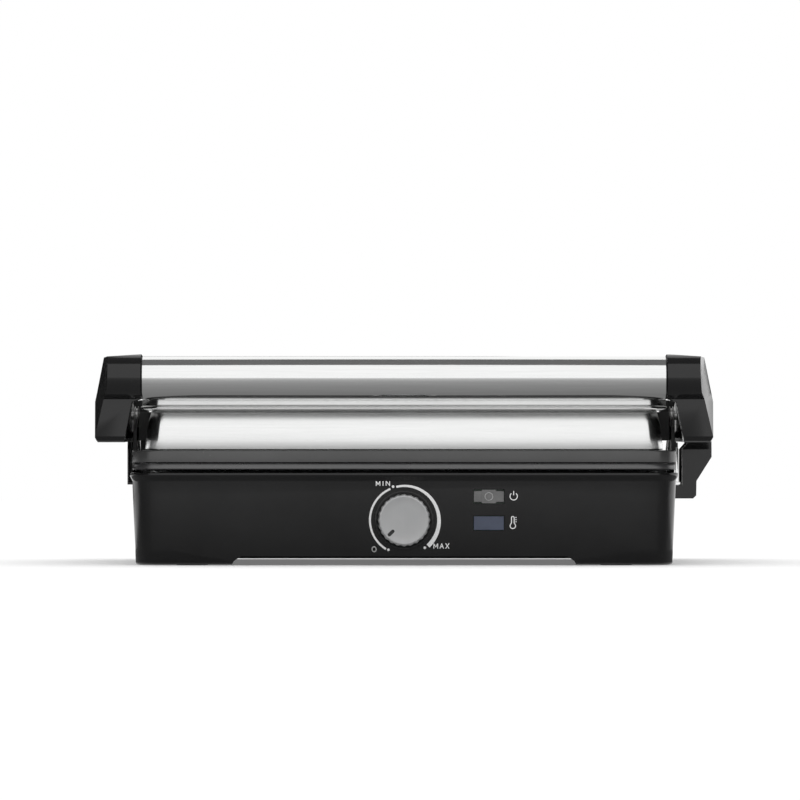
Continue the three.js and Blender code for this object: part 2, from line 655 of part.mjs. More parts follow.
function pivotLug() {
  const foot = box(LUG_INNER_X, LUG_OUTER_X, PIVOT_Y - 18, PIVOT_Y + 18, FRAME_BOTTOM + 0.6, FRAME_TOP);
  const post = alongX([
    [PIVOT_Y - 11, FRAME_TOP - 1], [PIVOT_Y + 11, FRAME_TOP - 1], [PIVOT_Y + 7, 79],
    [PIVOT_Y + 4, PIVOT_Z], [PIVOT_Y - 4, PIVOT_Z], [PIVOT_Y - 7, 79],
  ], 166.4, LUG_OUTER_X - 0.4);
  const boss = rod('x', 4.2, 164.7, LUG_OUTER_X - 0.4, PIVOT_Y, PIVOT_Z, 20);
  const web = alongX([
    [PIVOT_Y - 12, 76], [PIVOT_Y + 12, 76], [PIVOT_Y + 10, 93.6], [PIVOT_Y - 10, 93.6],
  ], COVER_HALF_X + 2 * GAP, 164.9);
  const cheek = box(PANEL_HALF_X + 2 * GAP, 164.9, PIVOT_Y - 9, PIVOT_Y + 9, 93, 101);
  const backWall = box(164.5, LUG_OUTER_X - 0.4, PIVOT_Y + 6.5, PIVOT_Y + 9, 76, 101);
  return foot.add(post).add(boss).add(web).add(cheek).add(backWall)
    .subtract(rod('x', PIVOT_RADIUS + 0.15, 160, 180, PIVOT_Y, PIVOT_Z, 20))
    .subtract(lugScrewHole)
    .subtract(rod('x', 3, LUG_OUTER_X - 2 - GAP / 2, 180, PIVOT_Y, LUG_SCREW_Z, 16));
}

add('upper_frame', upperFrame().subtract(lugScrewHole), frameGrey);
add('lid_fascia', fascia(), brushedSteel);
add('lid_top_panel', topPanel(), brushedSteel);
addPair('pivot_lug', pivotLug(), matteBlack);
addPair('lug_screw', screw('x', -1, LUG_OUTER_X - 2, 12, PIVOT_Y, LUG_SCREW_Z, 1.7, 2.6), platedSteel);

// ---------------------------------------------------------------- arms and handle
// The arm's side outline in (Y, Z): round collar, long falling back, knuckle at the hinge.
const armSide = [
  ...arc(HANDLE_Y, HANDLE_Z, COLLAR_RADIUS, 90, 270, 14).slice(0, 12),
  [-134.5, 101.6], [-127.6, 99.6], [-127.4, 77.4], [-125.9, 74.7], [-122, 73.9], [-60, 74.5],
  [20, 75.4], [ARM_WIDE_END, 76.3],
  ...arc(HINGE_Y, HINGE_Z, KNUCKLE_RADIUS, -160, 74, 12),
  [100, 86], [50, 99.5], [-30, 118], [-95, 124.5],
];

// Outer face of the arm from the bottom up as [X, Z], at the front edge and further back; the
// top of the collar falls a little towards the outside.
const armFrontEdge = [[182.6, 73], [184.9, 77], [180, 98.3], [178.6, 104], [177.8, 125.1]];
const armFullWidth = [
  [183.4, 73], [ARM_OUTER_FRONT_X + 0.2, 77], [ARM_OUTER_FRONT_X, 98.3],
  [184.8, 104], [180.7, 125],
];
const flare = ARM_OUTER_BACK_X - ARM_OUTER_FRONT_X - 0.2; // added by the time it ends

function armBlock(inset) {
  const stations = [
    [-145, armFrontEdge, -2],
    [-127.5, armFrontEdge, 0],
    [-108, armFullWidth, 0],
    [ARM_WIDE_END - 8, armFullWidth, flare],
    [ARM_WIDE_END - inset, armFullWidth, flare - 8 + inset],
  ];
  const outlines = stations.map(([, edge, extra]) => [
    [140, 73], ...edge.map(([x, z]) => [x + extra - inset, z]), [140, 127.7],
  ]);
  const wide = loft(outlines, stations.map(([y]) => y), ([x, z], y) => [x, y, z]);
  const narrow = box(140, KNUCKLE_OUTER_X - inset, ARM_WIDE_END - 20, 150, 30, 130);
  return inset > 1 ? wide : wide.add(narrow);
}

function armShell() {
  const side = alongX(armSide, 150, 210);
  const pocketSide = alongX(insetOutline(armSide, ARM_WALL), ARM_INNER_X - 1, 210);
  const innerRecess = alongY([
    [130, 30], [167.6, 30], [167.6, 74], [163, 98], [COLLAR_INNER_X, 100.1], [130, 100.1],
  ], -150, -112.9);
  const strapRoom = box(ARM_INNER_X - 1, STRAP_OUTER_X + GAP, ARM_WIDE_END - 30, 150, 30, 130);
  const pocket = pocketSide.intersect(armBlock(ARM_WALL).add(strapRoom));
  return side.intersect(armBlock(0))
    .subtract(box(130, COLLAR_INNER_X, -150, -110, 30, 140))
    .subtract(innerRecess)
    .subtract(box(130, ARM_INNER_X, -113, 160, 30, 140))
    .subtract(pocket)
    .subtract(rod('x', STUB_RADIUS + GAP, 150, 172, HANDLE_Y, HANDLE_Z, 32))
    .subtract(rod('x', SHAFT_RADIUS + 0.4, 150, 210, HINGE_Y, HINGE_Z, 24));
}

// A flat steel strap inside each arm carries the load from the handle to the hinge shaft.
function armStrap() {
  const outline = [
    ...arc(HANDLE_Y, HANDLE_Z, 9.2, 90, 300, 12),
    [-108, 99], [-60, 90], [10, 82], [60, 80.2], [ARM_WIDE_END + 1, 80],
    ...arc(HINGE_Y, HINGE_Z, 6.3, -150, 74, 8),
    [99, 82.6], [50, 94], [-30, 111.5], [-95, 120.5],
  ];
  return alongX(outline, STRAP_INNER_X, STRAP_OUTER_X)
    .subtract(rod('x', SHAFT_RADIUS + 0.2, 160, 180, HINGE_Y, HINGE_Z, 24))
    .subtract(rod('x', PIVOT_RADIUS + 0.2, 160, 180, PIVOT_Y, PIVOT_Z, 20))
    .subtract(rod('x', 3.3, 160, 180, HANDLE_Y, HANDLE_Z, 20));
}

function pivotPin() {
  return rod('x', PIVOT_RADIUS, 164.2, STRAP_OUTER_X + 1, PIVOT_Y, PIVOT_Z, 20)
    .add(rod('x', 4.4, STRAP_OUTER_X + GAP, STRAP_OUTER_X + 2.2, PIVOT_Y, PIVOT_Z, 20));
}

function handleCore() {
  const end = STRAP_INNER_X - GAP;
  const shoulder = HANDLE_HALF_X;
  const bore = 3.3;
  const profile = [
    [0, -end + 22], [bore, -end + 22], [bore, -end], [STUB_RADIUS, -end], [STUB_RADIUS, -shoulder],
    [HANDLE_CORE_RADIUS, -shoulder], [HANDLE_CORE_RADIUS, shoulder], [STUB_RADIUS, shoulder],
    [STUB_RADIUS, end], [bore, end], [bore, end - 22], [0, end - 22],
  ];
  return turned('x', profile, HANDLE_Y, HANDLE_Z, 20);
}

const sleeveProfile = [
  [HANDLE_CORE_RADIUS + 0.25, -HANDLE_HALF_X], [HANDLE_RADIUS, -HANDLE_HALF_X],
  [HANDLE_RADIUS, HANDLE_HALF_X], [HANDLE_CORE_RADIUS + 0.25, HANDLE_HALF_X],
  [HANDLE_CORE_RADIUS + 0.25, -HANDLE_HALF_X],
];

addPair('arm_shell', armShell(), glossBlack);
addPair('arm_strap', armStrap(), platedSteel);
addPair('pivot_pin', pivotPin(), platedSteel);
addPair('handle_screw', screw('x', -1, STRAP_OUTER_X + GAP, 20, HANDLE_Y, HANDLE_Z, 3, 5.5), platedSteel);
add('handle_sleeve', turned('x', sleeveProfile, HANDLE_Y, HANDLE_Z, 36), polishedSteel);
add('handle_core', handleCore(), matteBlack);

// ---------------------------------------------------------------- hinge
const towerSide = [
  [TOWER_FRONT, TOWER_BOTTOM], [TOWER_BACK, TOWER_BOTTOM], [TOWER_BACK, TOWER_TOP - 14],
  ...arc(TOWER_BACK - 14, TOWER_TOP - 14, 14, 0, 90, 5),
  ...arc(TOWER_FRONT + 14, TOWER_TOP - 14, 14, 90, 180, 5),
];

// Steel plate with the slot that the shaft floats in, and a foot that reaches the base wall.
function hingePlate() {
  const upright = [
    [106, 49], [138, 49], [138, 72], ...arc(124, 72, 13.5, 0, 180, 10), [106, 72],
  ].filter(([y, z], i, all) => i === 0 || y !== all[i - 1][0] || z !== all[i - 1][1]);
  const plate = alongX(upright, PLATE_INNER_X, PLATE_OUTER_X)
    .add(box(FOOT_INNER_X, PLATE_OUTER_X, 84, 124, 48.4, 50))
    .add(box(FOOT_INNER_X, FOOT_INNER_X + 1.8, 84, 104, 39.8, 50));
  const slot = box(170, 185, HINGE_Y - SLOT_HALF, HINGE_Y + SLOT_HALF, HINGE_Z - 5, HINGE_Z + HINGE_LIFT + 5);
  const holes = hingeScrewPlaces.map(([y, z]) => rod('x', 2, 160, 170, y, z, 12));
  return plate.subtract(slot).subtract(holes[0]).subtract(holes[1]);
}

// Hollow plastic cover over the right hinge plate; the lid's wires pass inside it.
function wiringCover() {
  const outline = [
    [FOOT_INNER_X, TOWER_BOTTOM], [186, TOWER_BOTTOM], [188, TOWER_BOTTOM + 2], [188.2, 50.7],
    [TOWER_OUTER_X, 66.1], [TOWER_OUTER_X, TOWER_TOP], [TOWER_INNER_X + 3.6, TOWER_TOP],
    [TOWER_INNER_X + 3.6, 75.4], [TOWER_INNER_X, 71.2], [TOWER_INNER_X, 48.1], [FOOT_INNER_X, 48.1],
  ];
  const pocketOutline = [
    [FOOT_INNER_X + 2, TOWER_BOTTOM + 2.2], [185.5, TOWER_BOTTOM + 2.2], [185.8, 51.4],
    [TOWER_OUTER_X - 2.4, 66.8], [TOWER_OUTER_X - 2.4, TOWER_TOP - 2.4], [170, TOWER_TOP - 2.4],
    [170, 48.3], [FOOT_INNER_X + 2, 48.3],
  ];
  const pocketSide = insetOutline(towerSide, 2.4);
  const footRoom = box(150, 177.2, 131, 145, 30, 60);
  const tabRoom = box(160, 169.8, 80, 106, 39, 60);
  const body = alongY(outline, TOWER_FRONT, TOWER_BACK).intersect(alongX(towerSide, 150, 210));
  const pocket = alongY(pocketOutline, TOWER_FRONT - 1, TOWER_BACK + 1)
    .intersect(alongX(pocketSide, 150, 210));
  return body.subtract(pocket).subtract(footRoom).subtract(tabRoom);
}

function leftCover() {
  const outline = insetOutline(towerSide, 0.1).map(([y, z]) => [y, Math.max(z, 48.4)]);
  return alongX(outline, -PLATE_OUTER_X - GAP - 0.9, -PLATE_OUTER_X - GAP);
}

// Nylon block that carries the shaft end and slides in the hinge plate's slot.
function slider() {
  return box(PLATE_INNER_X - 0.2, PLATE_OUTER_X, HINGE_Y - 3.95, HINGE_Y + 3.95, HINGE_Z - 4.6, HINGE_Z + 4.6)
    .subtract(rod('x', SHAFT_RADIUS + 0.15, 160, 200, HINGE_Y, HINGE_Z, 24));
}

function shaftClip() {
  const profile = [[SHAFT_RADIUS + 0.15, 167.8], [5.4, 167.8], [5.4, 169], [SHAFT_RADIUS + 0.15, 169]];
  profile.push(profile[0]);
  return turned('x', profile, HINGE_Y, HINGE_Z, 16);
}

addPair('hinge_plate', hingePlate(), platedSteel);
hingeScrewPlaces.forEach(([y, z], i) => {
  const name = ['front', 'back'][i];
  addPair(`hinge_screw_${name}`, screw('x', -1, FOOT_INNER_X + 1.8 + GAP, 9, y, z), platedSteel);
});
add('wiring_cover', wiringCover(), glossBlack);
add('left_hinge_cover', leftCover(), glossBlack);
const shaftEnd = PLATE_OUTER_X - 0.2;
add('hinge_shaft', rod('x', SHAFT_RADIUS, -shaftEnd, shaftEnd, HINGE_Y, HINGE_Z), platedSteel);
addPair('hinge_slider', slider(), whitePlastic);
addPair('shaft_clip', shaftClip(), platedSteel);

export default press;
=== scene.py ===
"""Panini press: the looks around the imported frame. Metres, +X right, +Y back, +Z up."""
import json
import math

import bmesh
import bpy
from mathutils import Matrix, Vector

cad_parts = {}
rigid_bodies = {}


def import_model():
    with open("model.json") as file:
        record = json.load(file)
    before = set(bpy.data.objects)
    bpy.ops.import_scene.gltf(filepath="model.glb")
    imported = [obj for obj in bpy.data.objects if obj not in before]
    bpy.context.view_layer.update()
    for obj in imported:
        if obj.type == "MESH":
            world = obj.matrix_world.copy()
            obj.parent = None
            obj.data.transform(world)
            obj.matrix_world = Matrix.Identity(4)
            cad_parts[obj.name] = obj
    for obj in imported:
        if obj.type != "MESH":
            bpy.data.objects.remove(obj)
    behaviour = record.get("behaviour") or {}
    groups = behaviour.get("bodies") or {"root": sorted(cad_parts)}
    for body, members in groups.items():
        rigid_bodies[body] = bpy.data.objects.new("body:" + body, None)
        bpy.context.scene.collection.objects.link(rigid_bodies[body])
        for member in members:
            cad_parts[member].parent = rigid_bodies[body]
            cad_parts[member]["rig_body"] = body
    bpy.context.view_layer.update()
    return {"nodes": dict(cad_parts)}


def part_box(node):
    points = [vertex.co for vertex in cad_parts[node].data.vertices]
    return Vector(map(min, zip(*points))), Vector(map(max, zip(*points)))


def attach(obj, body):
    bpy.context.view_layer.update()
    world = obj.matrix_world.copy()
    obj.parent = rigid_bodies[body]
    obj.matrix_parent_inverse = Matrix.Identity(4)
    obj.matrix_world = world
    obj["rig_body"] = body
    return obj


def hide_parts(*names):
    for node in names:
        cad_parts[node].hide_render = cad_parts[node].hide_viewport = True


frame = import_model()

MM = 0.001
scene = bpy.context.scene
nodes = frame["nodes"]


# ------------------------------------------------------------------ camera
def make_camera():
    """Straight from the front, level with the gap between the plates, from three metres away."""
    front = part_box("base_housing")[0].y
    distance = 3.0
    eye_height = 0.0513
    data = bpy.data.cameras.new("camera")
    data.sensor_width = 36.0
    data.lens = 225.0
    data.shift_x = -0.0051
    data.shift_y = 0.1
    data.clip_end = 50.0
    camera = bpy.data.objects.new("camera", data)
    camera.location = (0.0, front - distance, eye_height)
    camera.rotation_euler = (math.radians(90.0), 0.0, 0.0)
    scene.collection.objects.link(camera)
    scene.camera = camera


# ------------------------------------------------------------------ node helpers
class Shader:
    """A small builder for one Principled material."""

    def __init__(self, name, color, roughness, metallic=0.0, **sockets):
        self.material = bpy.data.materials.new("look_" + name)
        self.material.use_nodes = True
        self.nodes = self.material.node_tree.nodes
        self.links = self.material.node_tree.links
        self.principled = self.nodes["Principled BSDF"]
        self.set("Base Color", (*color, 1.0))
        self.set("Roughness", roughness)
        self.set("Metallic", metallic)
        for socket, value in sockets.items():
            self.set(socket.replace("_", " "), value)
        self.coordinates = self.nodes.new("ShaderNodeTexCoord").outputs["Object"]

    def set(self, socket, value):
        self.principled.inputs[socket].default_value = value

    def scaled(self, stretch):
        mapping = self.nodes.new("ShaderNodeMapping")
        mapping.inputs["Scale"].default_value = stretch
        self.links.new(self.coordinates, mapping.inputs["Vector"])
        return mapping.outputs["Vector"]

    def noise(self, scale, detail=3.0, stretch=(1.0, 1.0, 1.0), roughness=0.55):
        node = self.nodes.new("ShaderNodeTexNoise")
        node.inputs["Scale"].default_value = scale
        node.inputs["Detail"].default_value = detail
        node.inputs["Roughness"].default_value = roughness
        self.links.new(self.scaled(stretch), node.inputs["Vector"])
        return node.outputs["Fac"]

    def remap(self, value, low, high, start=0.3, end=0.7):
        node = self.nodes.new("ShaderNodeMapRange")
        node.inputs["From Min"].default_value = start
        node.inputs["From Max"].default_value = end
        node.inputs["To Min"].default_value = low
        node.inputs["To Max"].default_value = high
        self.links.new(value, node.inputs["Value"])
        return node.outputs["Result"]

    def ramp(self, value, stops):
        node = self.nodes.new("ShaderNodeValToRGB")
        ramp = node.color_ramp
        while len(ramp.elements) < len(stops):
            ramp.elements.new(0.5)
        for element, (place, color) in zip(ramp.elements, stops):
            element.position = place
            element.color = (*color, 1.0)
        self.links.new(value, node.inputs["Fac"])
        return node.outputs["Color"]

    def drive(self, socket, value):
        self.links.new(value, self.principled.inputs[socket])
        return self

    def bump(self, *layers):
        """Each layer is (height, strength, distance); they are stacked in order."""
        normal = None
        for height, strength, distance in layers:
            node = self.nodes.new("ShaderNodeBump")
            node.inputs["Strength"].default_value = strength
            node.inputs["Distance"].default_value = distance
            self.links.new(height, node.inputs["Height"])
            if normal:
                self.links.new(normal, node.inputs["Normal"])
            normal = node.outputs["Normal"]
        self.links.new(normal, self.principled.inputs["Normal"])
        return self


# ------------------------------------------------------------------ materials
def moulded(name, color, roughness, spread, grain, grain_scale, gloss=0.5):
    """Injection moulded plastic: slow gloss changes, faint dust and a fine moulded grain."""
    shader = Shader(name, color, roughness, Specular_IOR_Level=gloss)
    cloud = shader.noise(35.0, 4.0)
    shader.drive("Roughness", shader.remap(cloud, roughness - spread, roughness + spread))
    darker = tuple(0.8 * part for part in color)
    lighter = tuple(1.25 * part for part in color)
    shader.drive("Base Color", shader.ramp(shader.noise(14.0, 5.0), [(0.3, darker), (0.7, lighter)]))
    shader.bump((shader.noise(grain_scale, 2.0), grain, 0.0001), (shader.noise(90.0, 1.0), 0.02, 0.0004))
    return shader.material


def steel(name, color, roughness, spread, streak, stretch, anisotropic):
    """Steel brushed along X: fine streaks, softly cloudy gloss and reflections spread upright."""
    shader = Shader(name, color, roughness, 1.0, Anisotropic=anisotropic, Anisotropic_Rotation=0.25)
    around = shader.nodes.new("ShaderNodeTangent")
    around.direction_type = "RADIAL"
    around.axis = "Z"
    shader.drive("Tangent", around.outputs["Tangent"])
    lines = shader.noise(700.0, 4.0, stretch, 0.7)
    cloud = shader.noise(16.0, 3.0)
    mixed = shader.nodes.new("ShaderNodeMath")
    mixed.operation = "ADD"
    shader.links.new(shader.remap(lines, -spread, spread), mixed.inputs[0])
    shader.links.new(shader.remap(cloud, roughness - spread * 0.6, roughness + spread * 0.6), mixed.inputs[1])
    shader.drive("Roughness", mixed.outputs["Value"])
    dim = tuple(0.93 * part for part in color)
    shader.drive("Base Color", shader.ramp(lines, [(0.3, dim), (0.7, color)]))
    shader.bump((lines, streak, 0.00003))
    return shader.material


def zinc_plate(name, light):
    """Zinc plated sheet and turned parts with a faint spangle; light scales the whole colour, so a low value
    gives a copy darkened with painted shade.
    """
    shader = Shader(name, (0.46 * light, 0.46 * light, 0.455 * light), 0.38, 1.0)
    cells = shader.nodes.new("ShaderNodeTexVoronoi")
    cells.inputs["Scale"].default_value = 260.0
    shader.links.new(shader.coordinates, cells.inputs["Vector"])
    tones = [(0.0, (0.38, 0.38, 0.375)), (0.5, (0.46, 0.46, 0.455)), (1.0, (0.54, 0.54, 0.535))]
    stops = [(place, tuple(part * light for part in tone)) for place, tone in tones]
    shader.drive("Base Color", shader.ramp(cells.outputs["Distance"], stops))
    shader.drive("Roughness", shader.remap(shader.noise(120.0, 4.0), 0.28, 0.5))
    shader.bump((shader.noise(900.0, 2.0), 0.12, 0.00005))
    return shader.material


def cast_coating():
    """Dark non-stick coating sprayed on a cast plate, rubbed a little lighter in patches."""
    shader = Shader("cast_coating", (0.024, 0.024, 0.025), 0.3, IOR=1.95)
    speckle = shader.noise(1800.0, 2.0)
    shader.drive("Base Color", shader.ramp(speckle, [
        (0.35, (0.026, 0.026, 0.027)), (0.6, (0.036, 0.036, 0.037)), (0.72, (0.062, 0.062, 0.064))]))
    shader.drive("Roughness", shader.remap(shader.noise(60.0, 5.0), 0.24, 0.36))
    shader.bump((speckle, 0.25, 0.00008), (shader.noise(160.0, 3.0), 0.06, 0.0003))
    return shader.material


def foot_rubber():
    """Dull, slightly dusty rubber with a fine grain."""
    shader = Shader("foot_rubber", (0.018, 0.018, 0.018), 0.85, Specular_IOR_Level=0.35)
    shader.drive("Roughness", shader.remap(shader.noise(300.0, 4.0), 0.7, 0.95))
    tones = [(0.3, (0.012,) * 3), (0.7, (0.03,) * 3)]
    shader.drive("Base Color", shader.ramp(shader.noise(60.0, 4.0), tones))
    shader.bump((shader.noise(2500.0, 2.0), 0.3, 0.00008))
    return shader.material


def satin_silver():
    """Spun and lacquered aluminium-look knob."""
    shader = Shader("satin_silver", (0.46, 0.465, 0.465), 0.42, 0.75, Coat_Weight=0.15, Coat_Roughness=0.25)
    lines = shader.noise(600.0, 4.0, (1.0, 1.0, 0.02), 0.7)
    shader.drive("Roughness", shader.remap(lines, 0.38, 0.5))
    tones = [(0.3, (0.44, 0.445, 0.45)), (0.7, (0.49, 0.49, 0.49))]
    shader.drive("Base Color", shader.ramp(shader.noise(40.0, 3.0), tones))
    shader.bump((lines, 0.05, 0.00004))
    return shader.material


def lens_plastic(name, color, depth_color):
    """Tinted lamp window: a clear gloss skin over a mottled diffusing body."""
    shader = Shader(name, color, 0.22, Specular_IOR_Level=0.5, Coat_Weight=0.4, Coat_Roughness=0.08)
    shader.drive("Base Color", shader.ramp(shader.noise(110.0, 2.0), [(0.3, depth_color), (0.7, color)]))
    shader.bump((shader.noise(260.0, 2.0), 0.06, 0.0003))
    return shader.material


def ivory_plastic():
    """Warm white moulding of the electrical parts and the sliders."""
    shader = Shader("ivory_plastic", (0.62, 0.60, 0.52), 0.5, Subsurface_Weight=0.15, Subsurface_Scale=0.002)
    tones = [(0.3, (0.56, 0.54, 0.46)), (0.7, (0.68, 0.66, 0.58))]
    shader.drive("Base Color", shader.ramp(shader.noise(80.0, 4.0), tones))
    shader.drive("Roughness", shader.remap(shader.noise(200.0, 3.0), 0.4, 0.6))
    shader.bump((shader.noise(700.0, 2.0), 0.08, 0.0001))
    return shader.material


def circuit_board():
    """Green board with the weave of its glass cloth showing through the lacquer."""
    shader = Shader("circuit_board", (0.02, 0.1, 0.04), 0.35, Coat_Weight=0.5, Coat_Roughness=0.2)
    weave = shader.nodes.new("ShaderNodeTexBrick")
    weave.inputs["Scale"].default_value = 900.0
    weave.inputs["Color1"].default_value = (0.014, 0.09, 0.035, 1.0)
    weave.inputs["Color2"].default_value = (0.02, 0.12, 0.045, 1.0)
    weave.inputs["Mortar"].default_value = (0.01, 0.06, 0.02, 1.0)
    shader.links.new(shader.coordinates, weave.inputs["Vector"])
    shader.drive("Base Color", weave.outputs["Color"])
    shader.bump((weave.outputs["Fac"], 0.1, 0.00003))
    return shader.material


def print_ink():
    """White pad-printed ink, thin in places."""
    shader = Shader("print_ink", (0.82, 0.82, 0.8), 0.55)
    tones = [(0.3, (0.76,) * 3), (0.6, (0.84,) * 3)]
    shader.drive("Base Color", shader.ramp(shader.noise(900.0, 3.0), tones))
    shader.bump((shader.noise(3000.0, 2.0), 0.08, 0.00002))
    return shader.material


GLOSS_BLACK = moulded("gloss_black", (0.0055, 0.0055, 0.0057), 0.17, 0.03, 0.015, 1500.0)
ARM_BLACK = moulded("arm_black", (0.007, 0.007, 0.0072), 0.14, 0.02, 0.012, 1500.0)
MATTE_BLACK = moulded("matte_black", (0.02, 0.02, 0.02), 0.5, 0.08, 0.2, 1400.0)
LUG_BLACK = moulded("lug_black", (0.006, 0.006, 0.006), 0.45, 0.06, 0.1, 1400.0)
FRAME_GREY = moulded("frame_grey", (0.043, 0.043, 0.043), 0.25, 0.03, 0.05, 1800.0, 0.75)
PLATE_EDGE = cast_coating()
BRUSHED = steel("brushed_steel", (0.94, 0.945, 0.94), 0.2, 0.015, 0.02, (0.03, 1.0, 1.0), 0.62)
POLISHED = steel("polished_steel", (0.93, 0.935, 0.93), 0.1, 0.015, 0.008, (0.03, 1.0, 1.0), 0.35)
ZINC = zinc_plate("zinc_plate", 1.0)
# Zinc dimmed to 12%: painted shade for the left hinge plate, which lies in shade.
SHADED_ZINC = zinc_plate("zinc_painted_shade", 0.12)
RUBBER = foot_rubber()
SILVER = satin_silver()
SMOKED = lens_plastic("smoked_lens", (0.12, 0.12, 0.12), (0.085, 0.085, 0.085))
GUIDE = lens_plastic("smoked_guide", (0.3, 0.3, 0.3), (0.22, 0.22, 0.22))
BLUE = lens_plastic("blue_lens", (0.032, 0.045, 0.082), (0.022, 0.032, 0.064))
IVORY = ivory_plastic()
BOARD = circuit_board()
INK = print_ink()


# ------------------------------------------------------------------ mesh helpers
def new_piece(name, body, material, mesh, sharp=30.0, bevel=0.0, bevel_steps=3, replaces=()):
    """Links a mesh as a piece on a body, with smooth shading broken at sharp edges."""
    piece = bpy.data.objects.new(name, mesh)
    scene.collection.objects.link(piece)
    mesh.materials.clear()
    mesh.materials.append(material)
    finish_surface(piece, sharp, bevel, bevel_steps)
    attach(piece, body)
    if replaces:
        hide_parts(*replaces)
    return piece


def finish_surface(piece, sharp=30.0, bevel=0.0, steps=3):
    """Smooth shading up to the sharp angle, and a bevel on the edges beyond it."""
    mesh = piece.data
    mesh.shade_smooth()
    mesh.set_sharp_from_angle(angle=math.radians(sharp))
    if bevel:
        modifier = piece.modifiers.new("edges", "BEVEL")
        modifier.width = bevel
        modifier.segments = steps
        modifier.limit_method = "ANGLE"
        modifier.angle_limit = math.radians(sharp)
        modifier.harden_normals = True
        modifier.use_clamp_overlap = True
        modifier.miter_outer = "MITER_ARC"


def rounded_rect(half_x, front, back, radius, steps=16):
    """Counterclockwise outline in plan."""
    outline = []
    corners = [(half_x - radius, front + radius, -90), (half_x - radius, back - radius, 0),
               (radius - half_x, back - radius, 90), (radius - half_x, front + radius, 180)]
    for x, y, start in corners:
        for i in range(steps + 1):
            angle = math.radians(start + 90.0 * i / steps)
            outline.append((x + radius * math.cos(angle), y + radius * math.sin(angle)))
    return outline


def mesh_of(name, rings, join_ends=False, cap_first=False, cap_last=False):
    """Skins a list of equal rings of points; join_ends closes the last ring to the first."""
    build = bmesh.new()
    rows = [[build.verts.new(point) for point in ring] for ring in rings]
    pairs = list(zip(rows, rows[1:]))
    if join_ends:
        pairs.append((rows[-1], rows[0]))
    count = len(rows[0])
    for low, high in pairs:
        for i in range(count):
            build.faces.new((low[i], low[(i + 1) % count], high[(i + 1) % count], high[i]))
    if cap_first:
        build.faces.new(list(reversed(rows[0])))
    if cap_last:
        build.faces.new(rows[-1])
    bmesh.ops.recalc_face_normals(build, faces=build.faces)
    mesh = bpy.data.meshes.new(name)
    build.to_mesh(mesh)
    build.free()
    return mesh


def stacked_rings(half_x, front, back, radius, layers, steps=16):
    """Rounded rectangles, one for each (z, inset) layer."""
    rings = []
    for z, inset in layers:
        corner = max(radius - inset, 0.5 * MM)
        outline = rounded_rect(half_x - inset, front + inset, back - inset, corner, steps)
        rings.append([(x, y, z) for x, y in outline])
    return rings


def turned_mesh(name, profile, steps=96, closed=False):
    """Turns (radius, distance) pairs about +Y; radius 0 at an end becomes a pole cap."""
    rings = []
    for radius, distance in profile:
        rings.append([(radius * math.cos(2 * math.pi * i / steps), distance,
                       radius * math.sin(2 * math.pi * i / steps)) for i in range(steps)])
    return mesh_of(name, rings, join_ends=closed, cap_first=not closed, cap_last=not closed)


def cad_copy(node, name, material, bevel, sharp=30.0, steps=3):
    """A welded, cleaned and bevelled copy of a CAD node that stands for it."""
    build = bmesh.new()
    build.from_mesh(nodes[node].data)
    bmesh.ops.remove_doubles(build, verts=build.verts, dist=1e-6)
    if bevel:
        bmesh.ops.dissolve_limit(build, angle_limit=math.radians(1.0), verts=build.verts, edges=build.edges)
    bmesh.ops.recalc_face_normals(build, faces=build.faces)
    mesh = bpy.data.meshes.new(name)
    build.to_mesh(mesh)
    build.free()
    return new_piece(name, nodes[node]["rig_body"], material, mesh, sharp, bevel, steps, [node])


def cut(piece, cutters):
    """Boolean cuts by helper meshes, applied at once; the helpers are removed."""
    for cutter in cutters:
        modifier = piece.modifiers.new("cut", "BOOLEAN")
        modifier.operation = "DIFFERENCE"
        modifier.solver = "EXACT"
        modifier.object = cutter
    graph = bpy.context.evaluated_depsgraph_get()
    mesh = bpy.data.meshes.new_from_object(piece.evaluated_get(graph))
    piece.modifiers.clear()
    piece.data = mesh
    for cutter in cutters:
        bpy.data.objects.remove(cutter)


def helper(name, mesh):
    """An object that only serves as a cutter."""
    obj = bpy.data.objects.new(name, mesh)
    scene.collection.objects.link(obj)
    return obj


def prism_y(name, outline, front, back):
    """An (X, Z) outline swept along Y."""
    rings = [[(x, y, z) for x, z in outline] for y in (front, back)]
    return mesh_of(name, rings, cap_first=True, cap_last=True)


def rounded_bar(width, height, radius, cx, cz, steps=6):
    """A rounded rectangle in (X, Z) about a centre."""
    outline = rounded_rect(width / 2, -height / 2, height / 2, radius, steps)
    return [(cx + x, cz + z) for x, z in outline]


# ------------------------------------------------------------------ base
base_low, base_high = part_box("base_housing")
RIM_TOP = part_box("lower_plate")[1].z + 0.4 * MM
RIM_FLARE = 1.5 * MM
BASE_HALF_X = base_high.x - RIM_FLARE
BASE_FRONT = base_low.y + RIM_FLARE
BASE_BACK = base_high.y - RIM_FLARE
BASE_CORNER = 22 * MM
BASE_DRAFT = 2.1 * MM
BASE_WALL = 2.6 * MM
RIM_START = RIM_TOP - 5.4 * MM
OUTSIDE = 10 * MM  # how far in front of a wall a cutter starts
INSIDE = 20 * MM  # how far behind the wall it ends


def base_inset(z):
    return BASE_DRAFT * max(0.0, (RIM_START - z) / (RIM_START - base_low.z))


def wall_y(z):
    """Y of the front wall's outer face at a height."""
    return BASE_FRONT + base_inset(z)


def bore(radius, start, end, place):
    """A round cutter along +Y between two distances, moved into place."""
    mesh = turned_mesh("bore", [(radius, start), (radius, end)], 48)
    mesh.transform(place)
    return helper("bore", mesh)


def centre(node):
    """The middle of a node's box."""
    low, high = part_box(node)
    return (low + high) / 2


